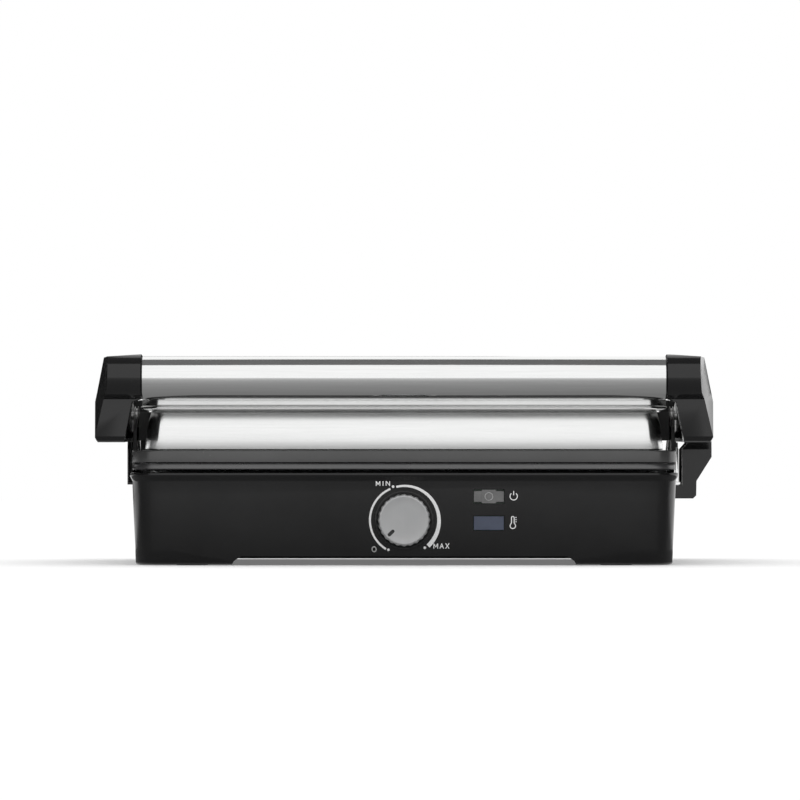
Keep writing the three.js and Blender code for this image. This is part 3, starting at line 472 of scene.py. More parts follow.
def housing_rings():
    """The shell's section from the foot of the wall, over the rim and down inside."""
    bottom, top = base_low.z, RIM_TOP
    foot = bottom + 0.9 * MM
    outer = [(bottom, base_inset(bottom) + 1.0 * MM), (bottom + 0.25 * MM, base_inset(bottom) + 0.35 * MM)]
    for i in range(6):
        z = foot + (RIM_START - foot) * i / 6
        outer.append((z, base_inset(z)))
    for i in range(9):
        share = i / 8
        outer.append((RIM_START + share * 4.0 * MM, -RIM_FLARE * (1 - math.cos(math.pi * share)) / 2))
    outer += [(top - 0.9 * MM, -RIM_FLARE), (top - 0.45 * MM, -RIM_FLARE * 0.9),
              (top - 0.15 * MM, -RIM_FLARE * 0.6), (top, -RIM_FLARE * 0.1)]
    inner = [(top, BASE_WALL - 0.4 * MM), (top - 0.3 * MM, BASE_WALL), (RIM_START, BASE_WALL),
             (bottom, BASE_DRAFT + BASE_WALL)]
    return stacked_rings(BASE_HALF_X, BASE_FRONT, BASE_BACK, BASE_CORNER, outer + inner, 18)


def housing_cutters():
    """Cutters for the front arch, lamp windows, spindle, cord, hinge screws and drip tray."""
    side = [(103.4, -1.0), (103.2, 0.9), (102.4, 2.4), (101.0, 3.5), (99.6, 4.4), (98.6, 5.2), (97.9, 5.5)]
    outline = [(x * MM, z * MM) for x, z in side] + [(-x * MM, z * MM) for x, z in reversed(side)]
    cutters = [helper("arch", prism_y("arch", outline, base_low.y - OUTSIDE, BASE_FRONT + 12 * MM))]
    for node in ("power_light_lens", "ready_light_lens"):
        low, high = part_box(node)
        middle = centre(node)
        width, height = high.x - low.x - 1.2 * MM, high.z - low.z - 1.4 * MM
        outline = rounded_bar(width, height, 0.5 * MM, middle.x, middle.z)
        cutters.append(helper(node, prism_y(node, outline, base_low.y - OUTSIDE, BASE_FRONT + INSIDE)))
    knob_z = centre("knob_skirt").z
    place = Matrix.Translation((0, 0, knob_z))
    cutters.append(bore(3.6 * MM, base_low.y - OUTSIDE, BASE_FRONT + INSIDE, place))
    outlet = centre("cord_grommet")
    place = Matrix.Translation((outlet.x, 0, outlet.z))
    cutters.append(bore(6.3 * MM, BASE_BACK - INSIDE, base_high.y + OUTSIDE, place))
    for node in ("right_hinge_screw_front", "right_hinge_screw_back"):
        screw = centre(node)
        across = Matrix.Translation((0, screw.y, screw.z)) @ Matrix.Rotation(math.radians(-90), 4, "Z")
        cutters.append(bore(2.0 * MM, base_low.x - OUTSIDE, base_high.x + OUTSIDE, across))
    tray_low, tray_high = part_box("drip_tray")
    gap = 0.3 * MM
    left, right = base_low.x - OUTSIDE, base_low.x + INSIDE
    bottom, top = tray_low.z - gap, tray_high.z + gap
    slot = [(left, bottom), (right, bottom), (right, top), (left, top)]
    cutters.append(helper("slot", prism_y("slot", slot, tray_low.y - gap, tray_high.y + gap)))
    return cutters


def make_housing():
    """The base shell with its openings, and the lip behind it."""
    housing = new_piece("housing", "base", GLOSS_BLACK, mesh_of("housing", housing_rings(), join_ends=True),
                        replaces=["base_housing"])
    cut(housing, housing_cutters())
    housing.data.materials.clear()
    housing.data.materials.append(GLOSS_BLACK)
    finish_surface(housing, 32.0, 0.25 * MM, 2)
    make_rear_lip()


def make_rear_lip():
    """The raised lip along the back of the rim, and a small upright matte black sheet behind each corner,
    painted shade for the ends of the rim gap.
    """
    outlines = []
    for inset in (0.4 * MM, 0.9 * MM, 1.7 * MM, 2.2 * MM):
        outlines.append(rounded_rect(BASE_HALF_X - inset, BASE_FRONT + inset, BASE_BACK - inset,
                                     BASE_CORNER - inset, 18))
    foot, top = RIM_TOP - 0.6 * MM, RIM_TOP + 2.8 * MM
    sections = []
    for outer, outer_top, inner_top, inner in zip(*outlines):
        if outer[1] > BASE_BACK - 20 * MM:
            sections.append([(*outer, foot), (*outer, top - 0.5 * MM), (*outer_top, top), (*inner_top, top),
                             (*inner, top - 0.5 * MM), (*inner, foot)])
    mesh = mesh_of("lip", sections, cap_first=True, cap_last=True)
    new_piece("housing_lip", "base", GLOSS_BLACK, mesh, 50.0)
    # Matte black sheets behind the corners: painted shade that keeps the ends of the gap between rim and lid
    # dark.
    hinge = centre("hinge_shaft").y
    face = [(163.0, 50.1), (169.6, 50.1), (169.6, 57.3), (169.3, 57.6), (163.0, 57.6)]
    for side, sign in (("left", -1), ("right", 1)):
        outline = [(sign * x * MM, z * MM) for x, z in face]
        shade_sheet = prism_y("shade_sheet", outline, hinge - 2.6 * MM, hinge - 1.0 * MM)
        new_piece(side + "_corner_shade_sheet", "base", MATTE_BLACK, shade_sheet, bevel=0.2 * MM)


def make_feet_and_screws():
    """Hollow rubber feet, and the base screws in their bosses."""
    for node, obj in nodes.items():
        low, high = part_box(node)
        cx, cy = (low.x + high.x) / 2, (low.y + high.y) / 2
        place = Matrix.Translation((cx, cy, 0)) @ Matrix.Rotation(math.radians(90), 4, "X")
        radius = (high.x - low.x) / 2
        if node.endswith("_foot"):
            edge = radius / MM
            profile = [(0.6, 0.9), (3.0, 0.9), (3.4, 0.2), (5.2, 0.2), (5.6, 0.9), (6.6, 0.9), (7.0, 0.0),
                       (edge - 0.8, 0.0), (edge - 0.2, 0.25), (edge, 0.8), (edge, 3.0), (edge - 0.5, 3.3),
                       (edge - 0.5, 4.0), (edge, 4.3), (edge, 5.0), (edge - 0.8, 6.0), (0.6, 6.0)]
            mesh = turned_mesh("foot", [(r * MM, z * MM) for r, z in profile], 64)
            mesh.transform(place)
            new_piece(node.replace("_foot", "_rubber_foot"), "base", RUBBER, mesh, 35.0, replaces=[node])
        elif node.endswith("_base_screw"):
            make_screw_head(node, place @ Matrix.Translation((0, low.z, 0)))
            profile = [(2.0, 8.2), (4.5, 8.2), (4.5, 29.5), (4.0, 30.0), (2.0, 30.0)]
            mesh = turned_mesh("boss", [(r * MM, z * MM) for r, z in profile], 48, closed=True)
            mesh.transform(place)
            new_piece(node.replace("_screw", "_boss"), "base", GLOSS_BLACK, mesh)


def make_screw_head(node, place):
    """Pan head with a cross recess and a ribbed shank; the head faces -Y before placing."""
    low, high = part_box(node)
    size = high - low
    length = max(size)
    head = sorted(size)[1] / 2
    shank = head * 0.5
    profile = [(0.2 * MM, 0.0), (head * 0.5, 0.05 * MM), (head * 0.85, 0.35 * MM), (head, 0.8 * MM),
               (head, 1.2 * MM), (shank, 1.2 * MM), (shank, 2.4 * MM)]
    pitch = 0.8 * MM
    turns = int((length - 3.4 * MM) / pitch)
    for i in range(turns):
        start = 2.4 * MM + i * pitch
        profile += [(shank * 0.82, start + pitch * 0.25), (shank, start + pitch * 0.75)]
    profile += [(shank * 0.8, length - 0.6 * MM), (0.2 * MM, length)]
    mesh = turned_mesh("screw", profile, 32)
    name = node.replace("screw", "cross_screw")
    piece = new_piece(name, nodes[node]["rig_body"], ZINC, mesh, 35.0, replaces=[node])
    arm, half = head * 0.52, head * 0.13
    cross = [(-half, -arm), (half, -arm), (half, -half), (arm, -half), (arm, half), (half, half), (half, arm),
             (-half, arm), (-half, half), (-arm, half), (-arm, -half), (-half, -half)]
    cut(piece, [helper("cross", prism_y("cross", cross, -1.0 * MM, 0.8 * MM))])
    piece.data.transform(place)
    piece.data.materials.clear()
    piece.data.materials.append(ZINC)
    finish_surface(piece, 35.0)


# ------------------------------------------------------------------ dial print
INK_LIFT = 0.03 * MM


def on_wall(x, z):
    return (x, wall_y(z) - INK_LIFT, z)


def print_piece(name, polygons):
    """Flat ink shapes on the front wall; each polygon is a list of (x, z) in metres."""
    build = bmesh.new()
    for polygon in polygons:
        build.faces.new([build.verts.new(on_wall(x, z)) for x, z in polygon])
    for face in build.faces:
        face.normal_update()
        if face.normal.y > 0:
            face.normal_flip()
    mesh = bpy.data.meshes.new(name)
    build.to_mesh(mesh)
    build.free()
    return new_piece(name, "base", INK, mesh)


def clock(cx, cz, radius, degrees):
    """Point at an angle clockwise from the top."""
    angle = math.radians(degrees)
    return cx + radius * math.sin(angle), cz + radius * math.cos(angle)


def ring_sector(cx, cz, inner, start, end, width_start, width_end, steps):
    """A stroke round a centre between two clock angles, from one width to another."""
    polygons = []
    for i in range(steps):
        a, b = [start + (end - start) * k / steps for k in (i, i + 1)]
        wa, wb = [width_start + (width_end - width_start) * k / steps for k in (i, i + 1)]
        polygons.append([clock(cx, cz, inner, a), clock(cx, cz, inner + wa, a),
                         clock(cx, cz, inner + wb, b), clock(cx, cz, inner, b)])
    return polygons


def disc(cx, cz, radius, steps=24):
    return [[clock(cx, cz, radius, 360.0 * i / steps) for i in range(steps)]]


def bar(cx, cz, width, height):
    return [[(cx - width / 2, cz - height / 2), (cx + width / 2, cz - height / 2),
             (cx + width / 2, cz + height / 2), (cx - width / 2, cz + height / 2)]]


def stroke(points, width):
    """A line of straight strokes of one width, each a little longer than its ends."""
    polygons = []
    for (x0, z0), (x1, z1) in zip(points, points[1:]):
        length = math.hypot(x1 - x0, z1 - z0)
        dx, dz = (x1 - x0) / length * width / 2, (z1 - z0) / length * width / 2
        polygons.append([(x0 - dx + dz, z0 - dz - dx), (x1 + dx + dz, z1 + dz - dx),
                         (x1 + dx - dz, z1 + dz + dx), (x0 - dx - dz, z0 - dz + dx)])
    return polygons


# Letters as strokes in a box one unit high; the number is the letter's width.
LETTERS = {
    "M": (0.84, [[(0, 0), (0, 1), (0.42, 0.25), (0.84, 1), (0.84, 0)]]),
    "I": (0.0, [[(0, 0), (0, 1)]]),
    "N": (0.8, [[(0, 0), (0, 1), (0.8, 0), (0.8, 1)]]),
    "A": (0.76, [[(0, 0), (0.38, 1), (0.76, 0)], [(0.14, 0.33), (0.62, 0.33)]]),
    "X": (0.68, [[(0, 0), (0.68, 1)], [(0, 1), (0.68, 0)]]),
    "0": (0.8, [[(0.4 + 0.4 * math.sin(math.pi * i / 12), 0.5 - 0.5 * math.cos(math.pi * i / 12))
                 for i in range(25)]]),
}


def printed_word(name, word, cx, cz, width, height, weight=0.46 * MM):
    """A word centred at a place; the letters are spread to fill the width."""
    tall = height - weight
    widths = [LETTERS[letter][0] * tall for letter in word]
    spare = width - weight - sum(widths)
    x = cx - (width - weight) / 2
    if len(word) == 1:
        x += spare / 2
    polygons = []
    for letter, letter_width in zip(word, widths):
        for line in LETTERS[letter][1]:
            polygons += stroke([(x + u * tall, cz + (v - 0.5) * tall) for u, v in line], weight)
        x += letter_width + spare / max(len(word) - 1, 1)
    return print_piece(name, polygons)


def make_prints():
    """The dial's arcs, dots and words, and a symbol beside each lamp window."""
    cz = centre("knob_skirt").z
    ring = 19.9 * MM
    print_piece("dial_arc_left", ring_sector(0.0, cz, ring, 212.0, 336.4, 1.2 * MM, 1.2 * MM, 60))
    print_piece("dial_arc_right", ring_sector(0.0, cz, ring, -13.2, 137.2, 1.2 * MM, 2.6 * MM, 72))
    dots = [(-9.4, 9.4), (-6.6, 47.3), (12.5, 10.6)]
    print_piece("dial_dots", [disc(x * MM, z * MM, 0.8 * MM)[0] for x, z in dots])
    printed_word("dial_word_min", "MIN", -12.7 * MM, 49.3 * MM, 8.5 * MM, 3.1 * MM)
    printed_word("dial_word_max", "MAX", 22.4 * MM, 11.7 * MM, 9.5 * MM, 3.2 * MM)
    printed_word("dial_word_off", "0", -18.0 * MM, 9.7 * MM, 2.9 * MM, 3.5 * MM)
    line = 0.5 * MM
    power_x, power_z = 65.8 * MM, 41.5 * MM
    symbol = ring_sector(power_x, power_z, 2.2 * MM - line / 2, 38.0, 322.0, line, line, 30)
    print_piece("power_symbol", symbol + bar(power_x, power_z + 1.9 * MM, line, 2.6 * MM))
    thermo_x, bulb_z, half = 65.3 * MM, 23.8 * MM, 0.8 * MM
    thermo = ring_sector(thermo_x, bulb_z, 1.4 * MM, 32.0, 328.0, line, line, 24)
    thermo += ring_sector(thermo_x, 28.6 * MM, half - line / 2, -90.0, 90.0, line, line, 12)
    for side in (-half, half):
        thermo += bar(thermo_x + side, 26.9 * MM, line, 3.4 * MM)
    for i in range(3):
        thermo += bar(thermo_x + 1.9 * MM, (26.2 + 1.3 * i) * MM, 0.9 * MM, 0.4 * MM)
    print_piece("heat_symbol", thermo)


# ------------------------------------------------------------------ controls
def scallop_ring(radius, depth, y, cz, lobes=24, per_lobe=12):
    """A ring with even hollows of the given depth round its edge."""
    count = lobes * per_lobe
    ring = []
    for i in range(count):
        angle = 2 * math.pi * i / count
        r = radius - depth * (1 - math.cos(lobes * angle)) / 2
        ring.append((r * math.cos(angle), y, cz + r * math.sin(angle)))
    return ring


def make_knob():
    """The scalloped knob with its pointer slot, a matte black sheet of painted shade at the slot's bottom, and
    the black skirt behind it.
    """
    low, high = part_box("temperature_knob")
    cz = (low.z + high.z) / 2
    radius = (high.x - low.x) / 2
    front, back = low.y, high.y
    stations = [(3.2 * MM, 0.0, back), (radius - 0.6 * MM, 0.3 * MM, back),
                (radius - 0.1 * MM, 0.5 * MM, back - 0.5 * MM), (radius, 0.5 * MM, back - 1.2 * MM),
                (radius - 0.2 * MM, 0.5 * MM, front + 1.6 * MM),
                (radius - 0.35 * MM, 0.45 * MM, front + 0.8 * MM),
                (radius - 0.7 * MM, 0.3 * MM, front + 0.3 * MM),
                (radius - 1.2 * MM, 0.12 * MM, front + 0.05 * MM), (radius - 1.7 * MM, 0.0, front),
                (radius - 2.3 * MM, 0.0, front + 0.1 * MM), (radius * 0.6, 0.0, front + 0.2 * MM),
                (radius * 0.2, 0.0, front + 0.25 * MM), (0.1 * MM, 0.0, front + 0.25 * MM)]
    rings = [scallop_ring(r, depth, y, cz) for r, depth, y in stations]
    mesh = mesh_of("knob", rings, cap_first=True, cap_last=True)
    body = nodes["temperature_knob"]["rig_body"]
    knob = new_piece("dial_knob", body, SILVER, mesh, replaces=["temperature_knob"])
    pointer = 225.7
    half = 1.05 * MM
    inner = clock(0, cz, 9.4 * MM, pointer)
    outer = clock(0, cz, 12.3 * MM, pointer)
    outline = [clock(outer[0], outer[1], half, pointer - 90 + 180 * i / 12) for i in range(13)]
    outline += [clock(inner[0], inner[1], half, pointer + 90 + 180 * i / 12) for i in range(13)]
    outline.reverse()
    cut(knob, [helper("slot", prism_y("slot", outline, front - 1 * MM, front + 1.2 * MM))])
    knob.data.materials.clear()
    knob.data.materials.append(SILVER)
    finish_surface(knob, 32.0)
    # A matte black sheet at the bottom of the pointer slot: painted shade for the recess.
    floor = prism_y("pointer", outline, front + 1.0 * MM, front + 1.3 * MM)
    new_piece("pointer_slot_shade", body, MATTE_BLACK, floor)
    low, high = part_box("knob_skirt")
    radius = (high.x - low.x) / 2
    edge = 0.8 * MM
    profile = [(3.2 * MM, low.y + 0.1 * MM), (radius - 1.4 * MM, low.y + 0.1 * MM),
               (radius - 1.1 * MM, low.y), (radius - edge, low.y)]
    for i in range(1, 7):
        angle = math.pi / 12 * i
        profile.append((radius - edge + edge * math.sin(angle), low.y + edge * (1 - math.cos(angle))))
    profile += [(radius, high.y), (3.2 * MM, high.y)]
    mesh = turned_mesh("skirt", profile, 128, closed=True)
    mesh.transform(Matrix.Translation((0, 0, cz)))
    new_piece("dial_skirt", body, GLOSS_BLACK, mesh, 32.0, replaces=["knob_skirt"])


def make_lenses():
    """Lamp windows: a clear stepped plate with a round light guide in the middle."""
    for node, material in (("power_light_lens", SMOKED), ("ready_light_lens", BLUE)):
        low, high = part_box(node)
        middle = centre(node)
        width = high.x - low.x - 1.8 * MM
        height = high.z - low.z - 2.0 * MM
        front = wall_y(middle.z) + 0.35 * MM
        body = nodes[node]["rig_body"]
        stepped = node == "power_light_lens"
        outline = rounded_bar(width, height * (0.78 if stepped else 1.0), 0.4 * MM, middle.x, middle.z)
        plate = prism_y("lens", outline, front, high.y)
        new_piece(node + "_plate", body, material, plate, 40.0, 0.25 * MM, 2, [node])
        if stepped:
            outline = rounded_bar(width * 0.48, height, 0.4 * MM, middle.x, middle.z)
            tab = prism_y("tab", outline, front - 0.12 * MM, high.y - 0.1 * MM)
            new_piece(node + "_tab", body, material, tab, 40.0, 0.25 * MM, 2)
            profile = [(1.95, -0.05), (2.1, -0.35), (2.5, -0.35), (2.65, -0.05)]
            guide = turned_mesh("guide", [(r * MM, y * MM) for r, y in profile], 48, closed=True)
            guide.transform(Matrix.Translation((middle.x, front - 0.1 * MM, middle.z)))
            new_piece(node + "_guide", body, GUIDE, guide)


# ------------------------------------------------------------------ lid
frame_low, frame_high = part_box("upper_frame")
fascia_low, fascia_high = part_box("lid_fascia")
panel_low, panel_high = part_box("lid_top_panel")


def shell_piece(name, node, material, outer, inner, corner, sharp):
    """A ring-shaped shell that stands for a node; each layer is (z, inset from the node's box)."""
    low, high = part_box(node)
    rings = stacked_rings(high.x, low.y, high.y, corner, outer + inner, 18)
    mesh = mesh_of(name, rings, join_ends=True)
    new_piece(name, nodes[node]["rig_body"], material, mesh, sharp, replaces=[node])


def make_lid():
    make_frame()
    make_cover_band()
    make_cover_top()


def make_frame():
    """The moulded frame round the upper plate, rounded over at its top edge."""
    bottom, top = frame_low.z, frame_high.z
    edge = 0.3 * MM
    outer = [(bottom + edge - edge * math.cos(a), edge - edge * math.sin(a)) for a in
             [math.pi / 12 * i for i in range(7)]]
    outer += [(top - 1.1 * MM + 1.1 * MM * math.sin(a), 1.1 * MM * (1 - math.cos(a))) for a in
              [math.pi / 12 * i for i in range(6)]]
    inner = [(top, 9.6 * MM), (top - 0.4 * MM, 10 * MM), (bottom + 0.4 * MM, 10 * MM), (bottom, 9.6 * MM)]
    shell_piece("lid_frame", "upper_frame", FRAME_GREY, outer, inner, 20 * MM, 40.0)


def make_cover_band():
    """The steel band: it leans in a little, and curves in further towards its top."""
    bottom, top = fascia_low.z, fascia_high.z
    lean_start = 82.6 * MM
    lean = 48.0 * MM
    tilt = math.radians(7.0)
    foot = bottom + 0.4 * MM
    outer = [(bottom, 0.35 * MM), (bottom + 0.12 * MM, 0.1 * MM), (foot, 0.0)]
    leant = (lean_start - foot) * math.tan(tilt)
    for i in range(15):
        z = lean_start + (top - lean_start) * i / 14
        angle = math.asin(math.sin(tilt) + (z - lean_start) / lean)
        outer.append((z, leant + lean * (math.cos(tilt) - math.cos(angle))))
    inner = [(z, inset + 1.0 * MM) for z, inset in reversed(outer[2:])] + [(bottom, 1.0 * MM)]
    shell_piece("cover_band", "lid_fascia", BRUSHED, outer, inner, 13.5 * MM, 50.0)


def make_cover_top():
    """The steel top: a bead along its lower edge, an upright rim and a rounded shoulder."""
    bottom, top = panel_low.z, panel_high.z
    bead = 0.75 * MM
    outer = [(bottom, 1.2 * MM), (bottom, 0.5 * MM)]
    outer += [(bottom + bead - bead * math.cos(a), 0.35 * MM - 0.35 * MM * math.sin(a)) for a in
              [math.pi / 16 * i for i in range(1, 16)]]
    outer += [(bottom + 1.62 * MM, 0.9 * MM), (bottom + 1.72 * MM, 0.95 * MM), (bottom + 1.9 * MM, 0.75 * MM)]
    shoulder = bottom + 7.5 * MM
    outer += [(bottom + 2.3 * MM, 0.7 * MM), (shoulder, 0.85 * MM)]
    for i in range(1, 11):
        angle = math.pi / 2 * i / 10
        z = shoulder + (top - shoulder) * math.sin(angle)
        outer.append((z, 0.85 * MM + 9 * MM * (1 - math.cos(angle))))
    outer += [(top, 20 * MM), (top, 60 * MM)]
    under = [(top - 1.0 * MM, 60 * MM), (top - 1.0 * MM, 20 * MM), (bottom + 1.2 * MM, 1.4 * MM)]
    rings = stacked_rings(panel_high.x, panel_low.y, panel_high.y, 16 * MM, outer + under, 18)
    fill_top(rings, len(outer))


def fill_top(rings, outer_count):
    """The panel's skin: the outer rings up to a flat field, then the inner rings back down."""
    build = bmesh.new()
    rows = [[build.verts.new(point) for point in ring] for ring in rings]
    count = len(rows[0])
    pairs = list(zip(rows[:outer_count], rows[1:outer_count]))
    pairs += list(zip(rows[outer_count:], rows[outer_count + 1:])) + [(rows[-1], rows[0])]
    for low, high in pairs:
        for i in range(count):
            build.faces.new((low[i], low[(i + 1) % count], high[(i + 1) % count], high[i]))
    build.faces.new(rows[outer_count - 1])
    build.faces.new(list(reversed(rows[outer_count])))
    bmesh.ops.recalc_face_normals(build, faces=build.faces)
    mesh = bpy.data.meshes.new("top_panel")
    build.to_mesh(mesh)
    build.free()
    new_piece("cover_top", nodes["lid_top_panel"]["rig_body"], BRUSHED, mesh, 50.0, replaces=["lid_top_panel"])


# ------------------------------------------------------------------ handle
def make_handle():
    """A tube whose lower half is drawn out a little, so that it fits the fingers."""
    low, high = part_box("handle_sleeve")
    cy, cz = (low.y + high.y) / 2, (low.z + high.z) / 2
    radius, half = (high.z - low.z) / 2, high.x
    inner = radius - 1.25 * MM
    profile = [(inner, -half), (radius - 0.7 * MM, -half), (radius - 0.2 * MM, 0.2 * MM - half),
               (radius, 0.7 * MM - half), (radius, half - 0.7 * MM), (radius - 0.2 * MM, half - 0.2 * MM),
               (radius - 0.7 * MM, half), (inner, half)]
    mesh = turned_mesh("sleeve", profile, 128, closed=True)
    for vertex in mesh.vertices:
        if vertex.co.z < 0:
            vertex.co.z *= 1.13
    mesh.transform(Matrix.Translation((0, cy, cz)) @ Matrix.Rotation(math.radians(-90), 4, "Z"))
    body = nodes["handle_sleeve"]["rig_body"]
    new_piece("handle_bar", body, POLISHED, mesh, 50.0, replaces=["handle_sleeve"])


def wire(name, body, material, path, x, radius=0.42 * MM, steps=10):
    """A round wire along a path of (y, z) points in the plane at one X."""
    rings = []
    for i, (y, z) in enumerate(path):
        before, after = path[max(i - 1, 0)], path[min(i + 1, len(path) - 1)]
        along = math.hypot(after[0] - before[0], after[1] - before[1])
        ny, nz = (before[1] - after[1]) / along, (after[0] - before[0]) / along
        turns = [2 * math.pi * k / steps for k in range(steps)]
        rings.append([(x + radius * math.sin(a), y + radius * math.cos(a) * ny, z + radius * math.cos(a) * nz)
                      for a in turns])
    return new_piece(name, body, material, mesh_of(name, rings, cap_first=True, cap_last=True))


def make_pivots():
    """A plated sleeve on each pivot boss and the two hoops of the spring that levels the lid."""
    for side, sign in (("right", 1), ("left", -1)):
        pivot = centre(side + "_pivot_pin")
        body = nodes[side + "_pivot_lug"]["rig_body"]
        start = 165.0 * MM
        profile = [(4.22 * MM, start), (4.7 * MM, start), (4.8 * MM, start + 0.1 * MM),
                   (4.8 * MM, start + 3.4 * MM), (4.7 * MM, start + 3.5 * MM), (4.22 * MM, start + 3.5 * MM)]
        sleeve = turned_mesh("sleeve", profile, 64, closed=True)
        turn = Matrix.Rotation(math.radians(-90 * sign), 4, "Z")
        sleeve.transform(Matrix.Translation((0, pivot.y, pivot.z)) @ turn)
        new_piece(side + "_pivot_sleeve", body, ZINC, sleeve)
        hoop = 5.6 * MM
        arch = [(pivot.y + hoop * math.cos(math.pi * i / 24), pivot.z + hoop * math.sin(math.pi * i / 24))
                for i in range(25)]
        path = [(pivot.y + hoop, pivot.z - 7 * MM), *arch, (pivot.y - hoop, pivot.z - 7 * MM)]
        for i, x in enumerate((165.8 * MM, 167.7 * MM)):
            wire(f"{side}_lid_spring_{i}", body, ZINC, path, sign * x)
    pivot = centre("left_pivot_pin")
    outline = [(-164.4, 69.6), (-157.3, 69.6), (-157.3, 76.4), (-164.4, 76.4)]
    gusset = prism_y("gusset", [(x * MM, z * MM) for x, z in outline], pivot.y - 2 * MM, pivot.y + 2 * MM)
    new_piece("left_lug_gusset", nodes["left_pivot_lug"]["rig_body"], LUG_BLACK, gusset, bevel=0.3 * MM)


# ------------------------------------------------------------------ everything carried over
# Node: material, bevel width in millimetres, angle in degrees above which an edge is sharp.
COPIES = {
    "right_arm_shell": (ARM_BLACK, 0.9, 28.0), "left_arm_shell": (ARM_BLACK, 0.9, 28.0),
    "wiring_cover": (ARM_BLACK, 0.8, 28.0), "left_hinge_cover": (ARM_BLACK, 0.3, 30.0),
    "right_pivot_lug": (LUG_BLACK, 0.4, 30.0), "left_pivot_lug": (LUG_BLACK, 0.4, 30.0),
    # The left hinge plate takes the dimmed zinc as painted shade; the right one stays polished.
    "right_hinge_plate": (POLISHED, 0.2, 30.0), "left_hinge_plate": (SHADED_ZINC, 0.2, 30.0),
    "right_arm_strap": (ZINC, 0.25, 30.0), "left_arm_strap": (ZINC, 0.25, 30.0),
    "right_hinge_slider": (IVORY, 0.3, 30.0), "left_hinge_slider": (IVORY, 0.3, 30.0),
    "upper_plate": (PLATE_EDGE, 0.0, 30.0), "lower_plate": (PLATE_EDGE, 0.35, 30.0),
    "drip_tray": (GLOSS_BLACK, 0.4, 30.0), "bottom_plate": (MATTE_BLACK, 0.3, 30.0),
}
# CAD pieces shown as they are, with a material and slightly broken edges.
KEPT = {
    "hinge_shaft": ZINC, "right_shaft_clip": ZINC, "left_shaft_clip": ZINC, "right_pivot_pin": ZINC,
    "left_pivot_pin": ZINC, "lower_heat_reflector": ZINC, "upper_heat_reflector": ZINC,
    "lower_heating_element": ZINC, "upper_heating_element": ZINC, "thermostat_spindle": ZINC,
    "thermostat_body": IVORY, "power_lamp": IVORY, "ready_lamp": IVORY, "terminal_block": IVORY,
    "lamp_board": BOARD, "handle_core": MATTE_BLACK, "drip_tray_guide": MATTE_BLACK, "cord_grommet": RUBBER,
}


def make_rest():
    """Finished copies of moulded and pressed parts, dressed CAD parts, and the remaining screws."""
    for node, (material, bevel, sharp) in COPIES.items():
        cad_copy(node, node + "_finished", material, bevel * MM, sharp)
    for node, material in KEPT.items():
        obj = nodes[node]
        obj.data.materials.clear()
        obj.data.materials.append(material)
        modifier = obj.modifiers.new("edges", "BEVEL")
        modifier.width = 0.15 * MM
        modifier.segments = 2
        modifier.limit_method = "ANGLE"
        modifier.angle_limit = math.radians(40.0)
    for node in sorted(nodes):
        if "_screw" in node and not node.endswith("_base_screw"):
            low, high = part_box(node)
            side = 1 if high.x > 0 else -1
            head_x = high.x if side > 0 else low.x
            turn = Matrix.Rotation(math.radians(90 * side), 4, "Z")
            place = Matrix.Translation((head_x, (low.y + high.y) / 2, (low.z + high.z) / 2)) @ turn
            make_screw_head(node, place)


# ------------------------------------------------------------------ stage
def emitter(name, size, location, rotation, strength):
    """A flat card seen only in reflections."""
    mesh = bpy.data.meshes.new(name)
    build = bmesh.new()
    half_x, half_y = size[0] / 2, size[1] / 2
    corners = ((-half_x, -half_y, 0), (half_x, -half_y, 0), (half_x, half_y, 0), (-half_x, half_y, 0))
    build.faces.new([build.verts.new(corner) for corner in corners])
    build.to_mesh(mesh)
    build.free()
    card = bpy.data.objects.new(name, mesh)
    scene.collection.objects.link(card)
    card.location = location
    card.rotation_euler = [math.radians(a) for a in rotation]
    material = bpy.data.materials.new(name)
    material.use_nodes = True
    tree = material.node_tree
    tree.nodes.clear()
    glow = tree.nodes.new("ShaderNodeEmission")
    glow.inputs["Strength"].default_value = strength
    output = tree.nodes.new("ShaderNodeOutputMaterial")
    tree.links.new(glow.outputs["Emission"], output.inputs["Surface"])
    mesh.materials.append(material)
    card.visible_camera = False
    card.visible_diffuse = False
    card.visible_shadow = False
    card.visible_transmission = False
    return glow


def brighten(glow, start, end, low, high):
    """Makes a card's glow change from low to high between two places along its own Y."""
    tree = glow.id_data
    place = tree.nodes.new("ShaderNodeTexCoord")
    split = tree.nodes.new("ShaderNodeSeparateXYZ")
    remap = tree.nodes.new("ShaderNodeMapRange")
    remap.inputs["From Min"].default_value = start
    remap.inputs["From Max"].default_value = end
    remap.inputs["To Min"].default_value = low
    remap.inputs["To Max"].default_value = high
    tree.links.new(place.outputs["Object"], split.inputs["Vector"])
    tree.links.new(split.outputs["Y"], remap.inputs["Value"])
    tree.links.new(remap.outputs["Result"], glow.inputs["Strength"])


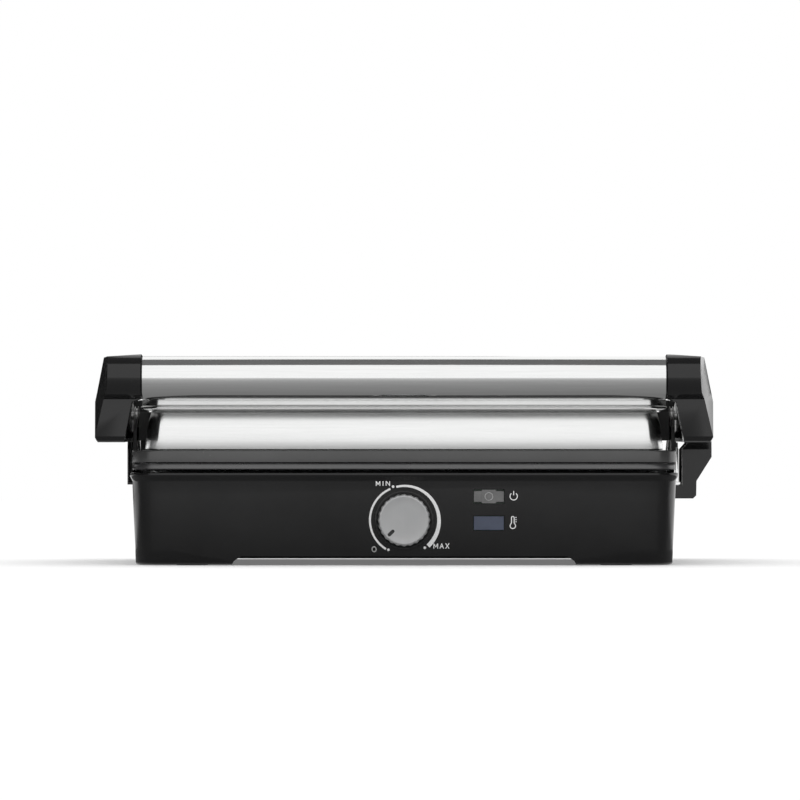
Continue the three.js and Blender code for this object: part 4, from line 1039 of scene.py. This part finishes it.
def make_stage():
    """A pale floor, a white studio, one soft lamp above and cards for the reflections."""
    floor_mesh = bpy.data.meshes.new("floor")
    build = bmesh.new()
    build.faces.new([build.verts.new(p) for p in ((-9, -9, 0), (9, -9, 0), (9, 9, 0), (-9, 9, 0))])
    build.to_mesh(floor_mesh)
    build.free()
    floor = bpy.data.objects.new("floor", floor_mesh)
    scene.collection.objects.link(floor)
    paper = bpy.data.materials.new("floor")
    paper.use_nodes = True
    shader = paper.node_tree.nodes["Principled BSDF"]
    shader.inputs["Base Color"].default_value = (0.86, 0.86, 0.86, 1.0)
    shader.inputs["Roughness"].default_value = 1.0
    shader.inputs["Specular IOR Level"].default_value = 0.0
    shader.inputs["Emission Color"].default_value = (1.0, 1.0, 1.0, 1.0)
    shader.inputs["Emission Strength"].default_value = 0.16
    floor_mesh.materials.append(paper)
    world = bpy.data.worlds.new("studio")
    world.use_nodes = True
    world.node_tree.nodes["Background"].inputs["Color"].default_value = (1.0, 1.0, 1.0, 1.0)
    world.node_tree.nodes["Background"].inputs["Strength"].default_value = 1.0
    scene.world = world
    scene.view_settings.view_transform = "Standard"
    light = bpy.data.lights.new("overhead", "AREA")
    light.shape = "RECTANGLE"
    light.size = 1.8
    light.size_y = 1.8
    light.energy = 4.0
    lamp = bpy.data.objects.new("overhead", light)
    lamp.location = (0.0, -0.1, 1.9)
    lamp.visible_glossy = False
    lamp.visible_camera = False
    scene.collection.objects.link(lamp)
    emitter("overhead_card", (6.0, 2.97), (0.0, -0.015, 3.6), (0, 0, 0), 0.147)
    floor_glow = emitter("floor_card", (4.4, 1.32), (0.0, -0.51, 0.0015), (0, 0, 0), 0.15)
    brighten(floor_glow, -0.66, 0.394, 0.76, 0.18)
    emitter("left_card", (2.72, 1.1), (-2.0, 0.14, 0.55), (90, 0, 90), 0.008)
    emitter("right_card", (1.6, 1.1), (2.0, -0.42, 0.55), (90, 0, 90), 0.008)
    emitter("back_card", (2.32, 0.6), (-1.04, 1.5, 0.3), (90, 0, 0), 0.02)


make_camera()
make_housing()
make_feet_and_screws()
make_prints()
make_knob()
make_lenses()
make_lid()
make_handle()
make_pivots()
make_rest()
make_stage()
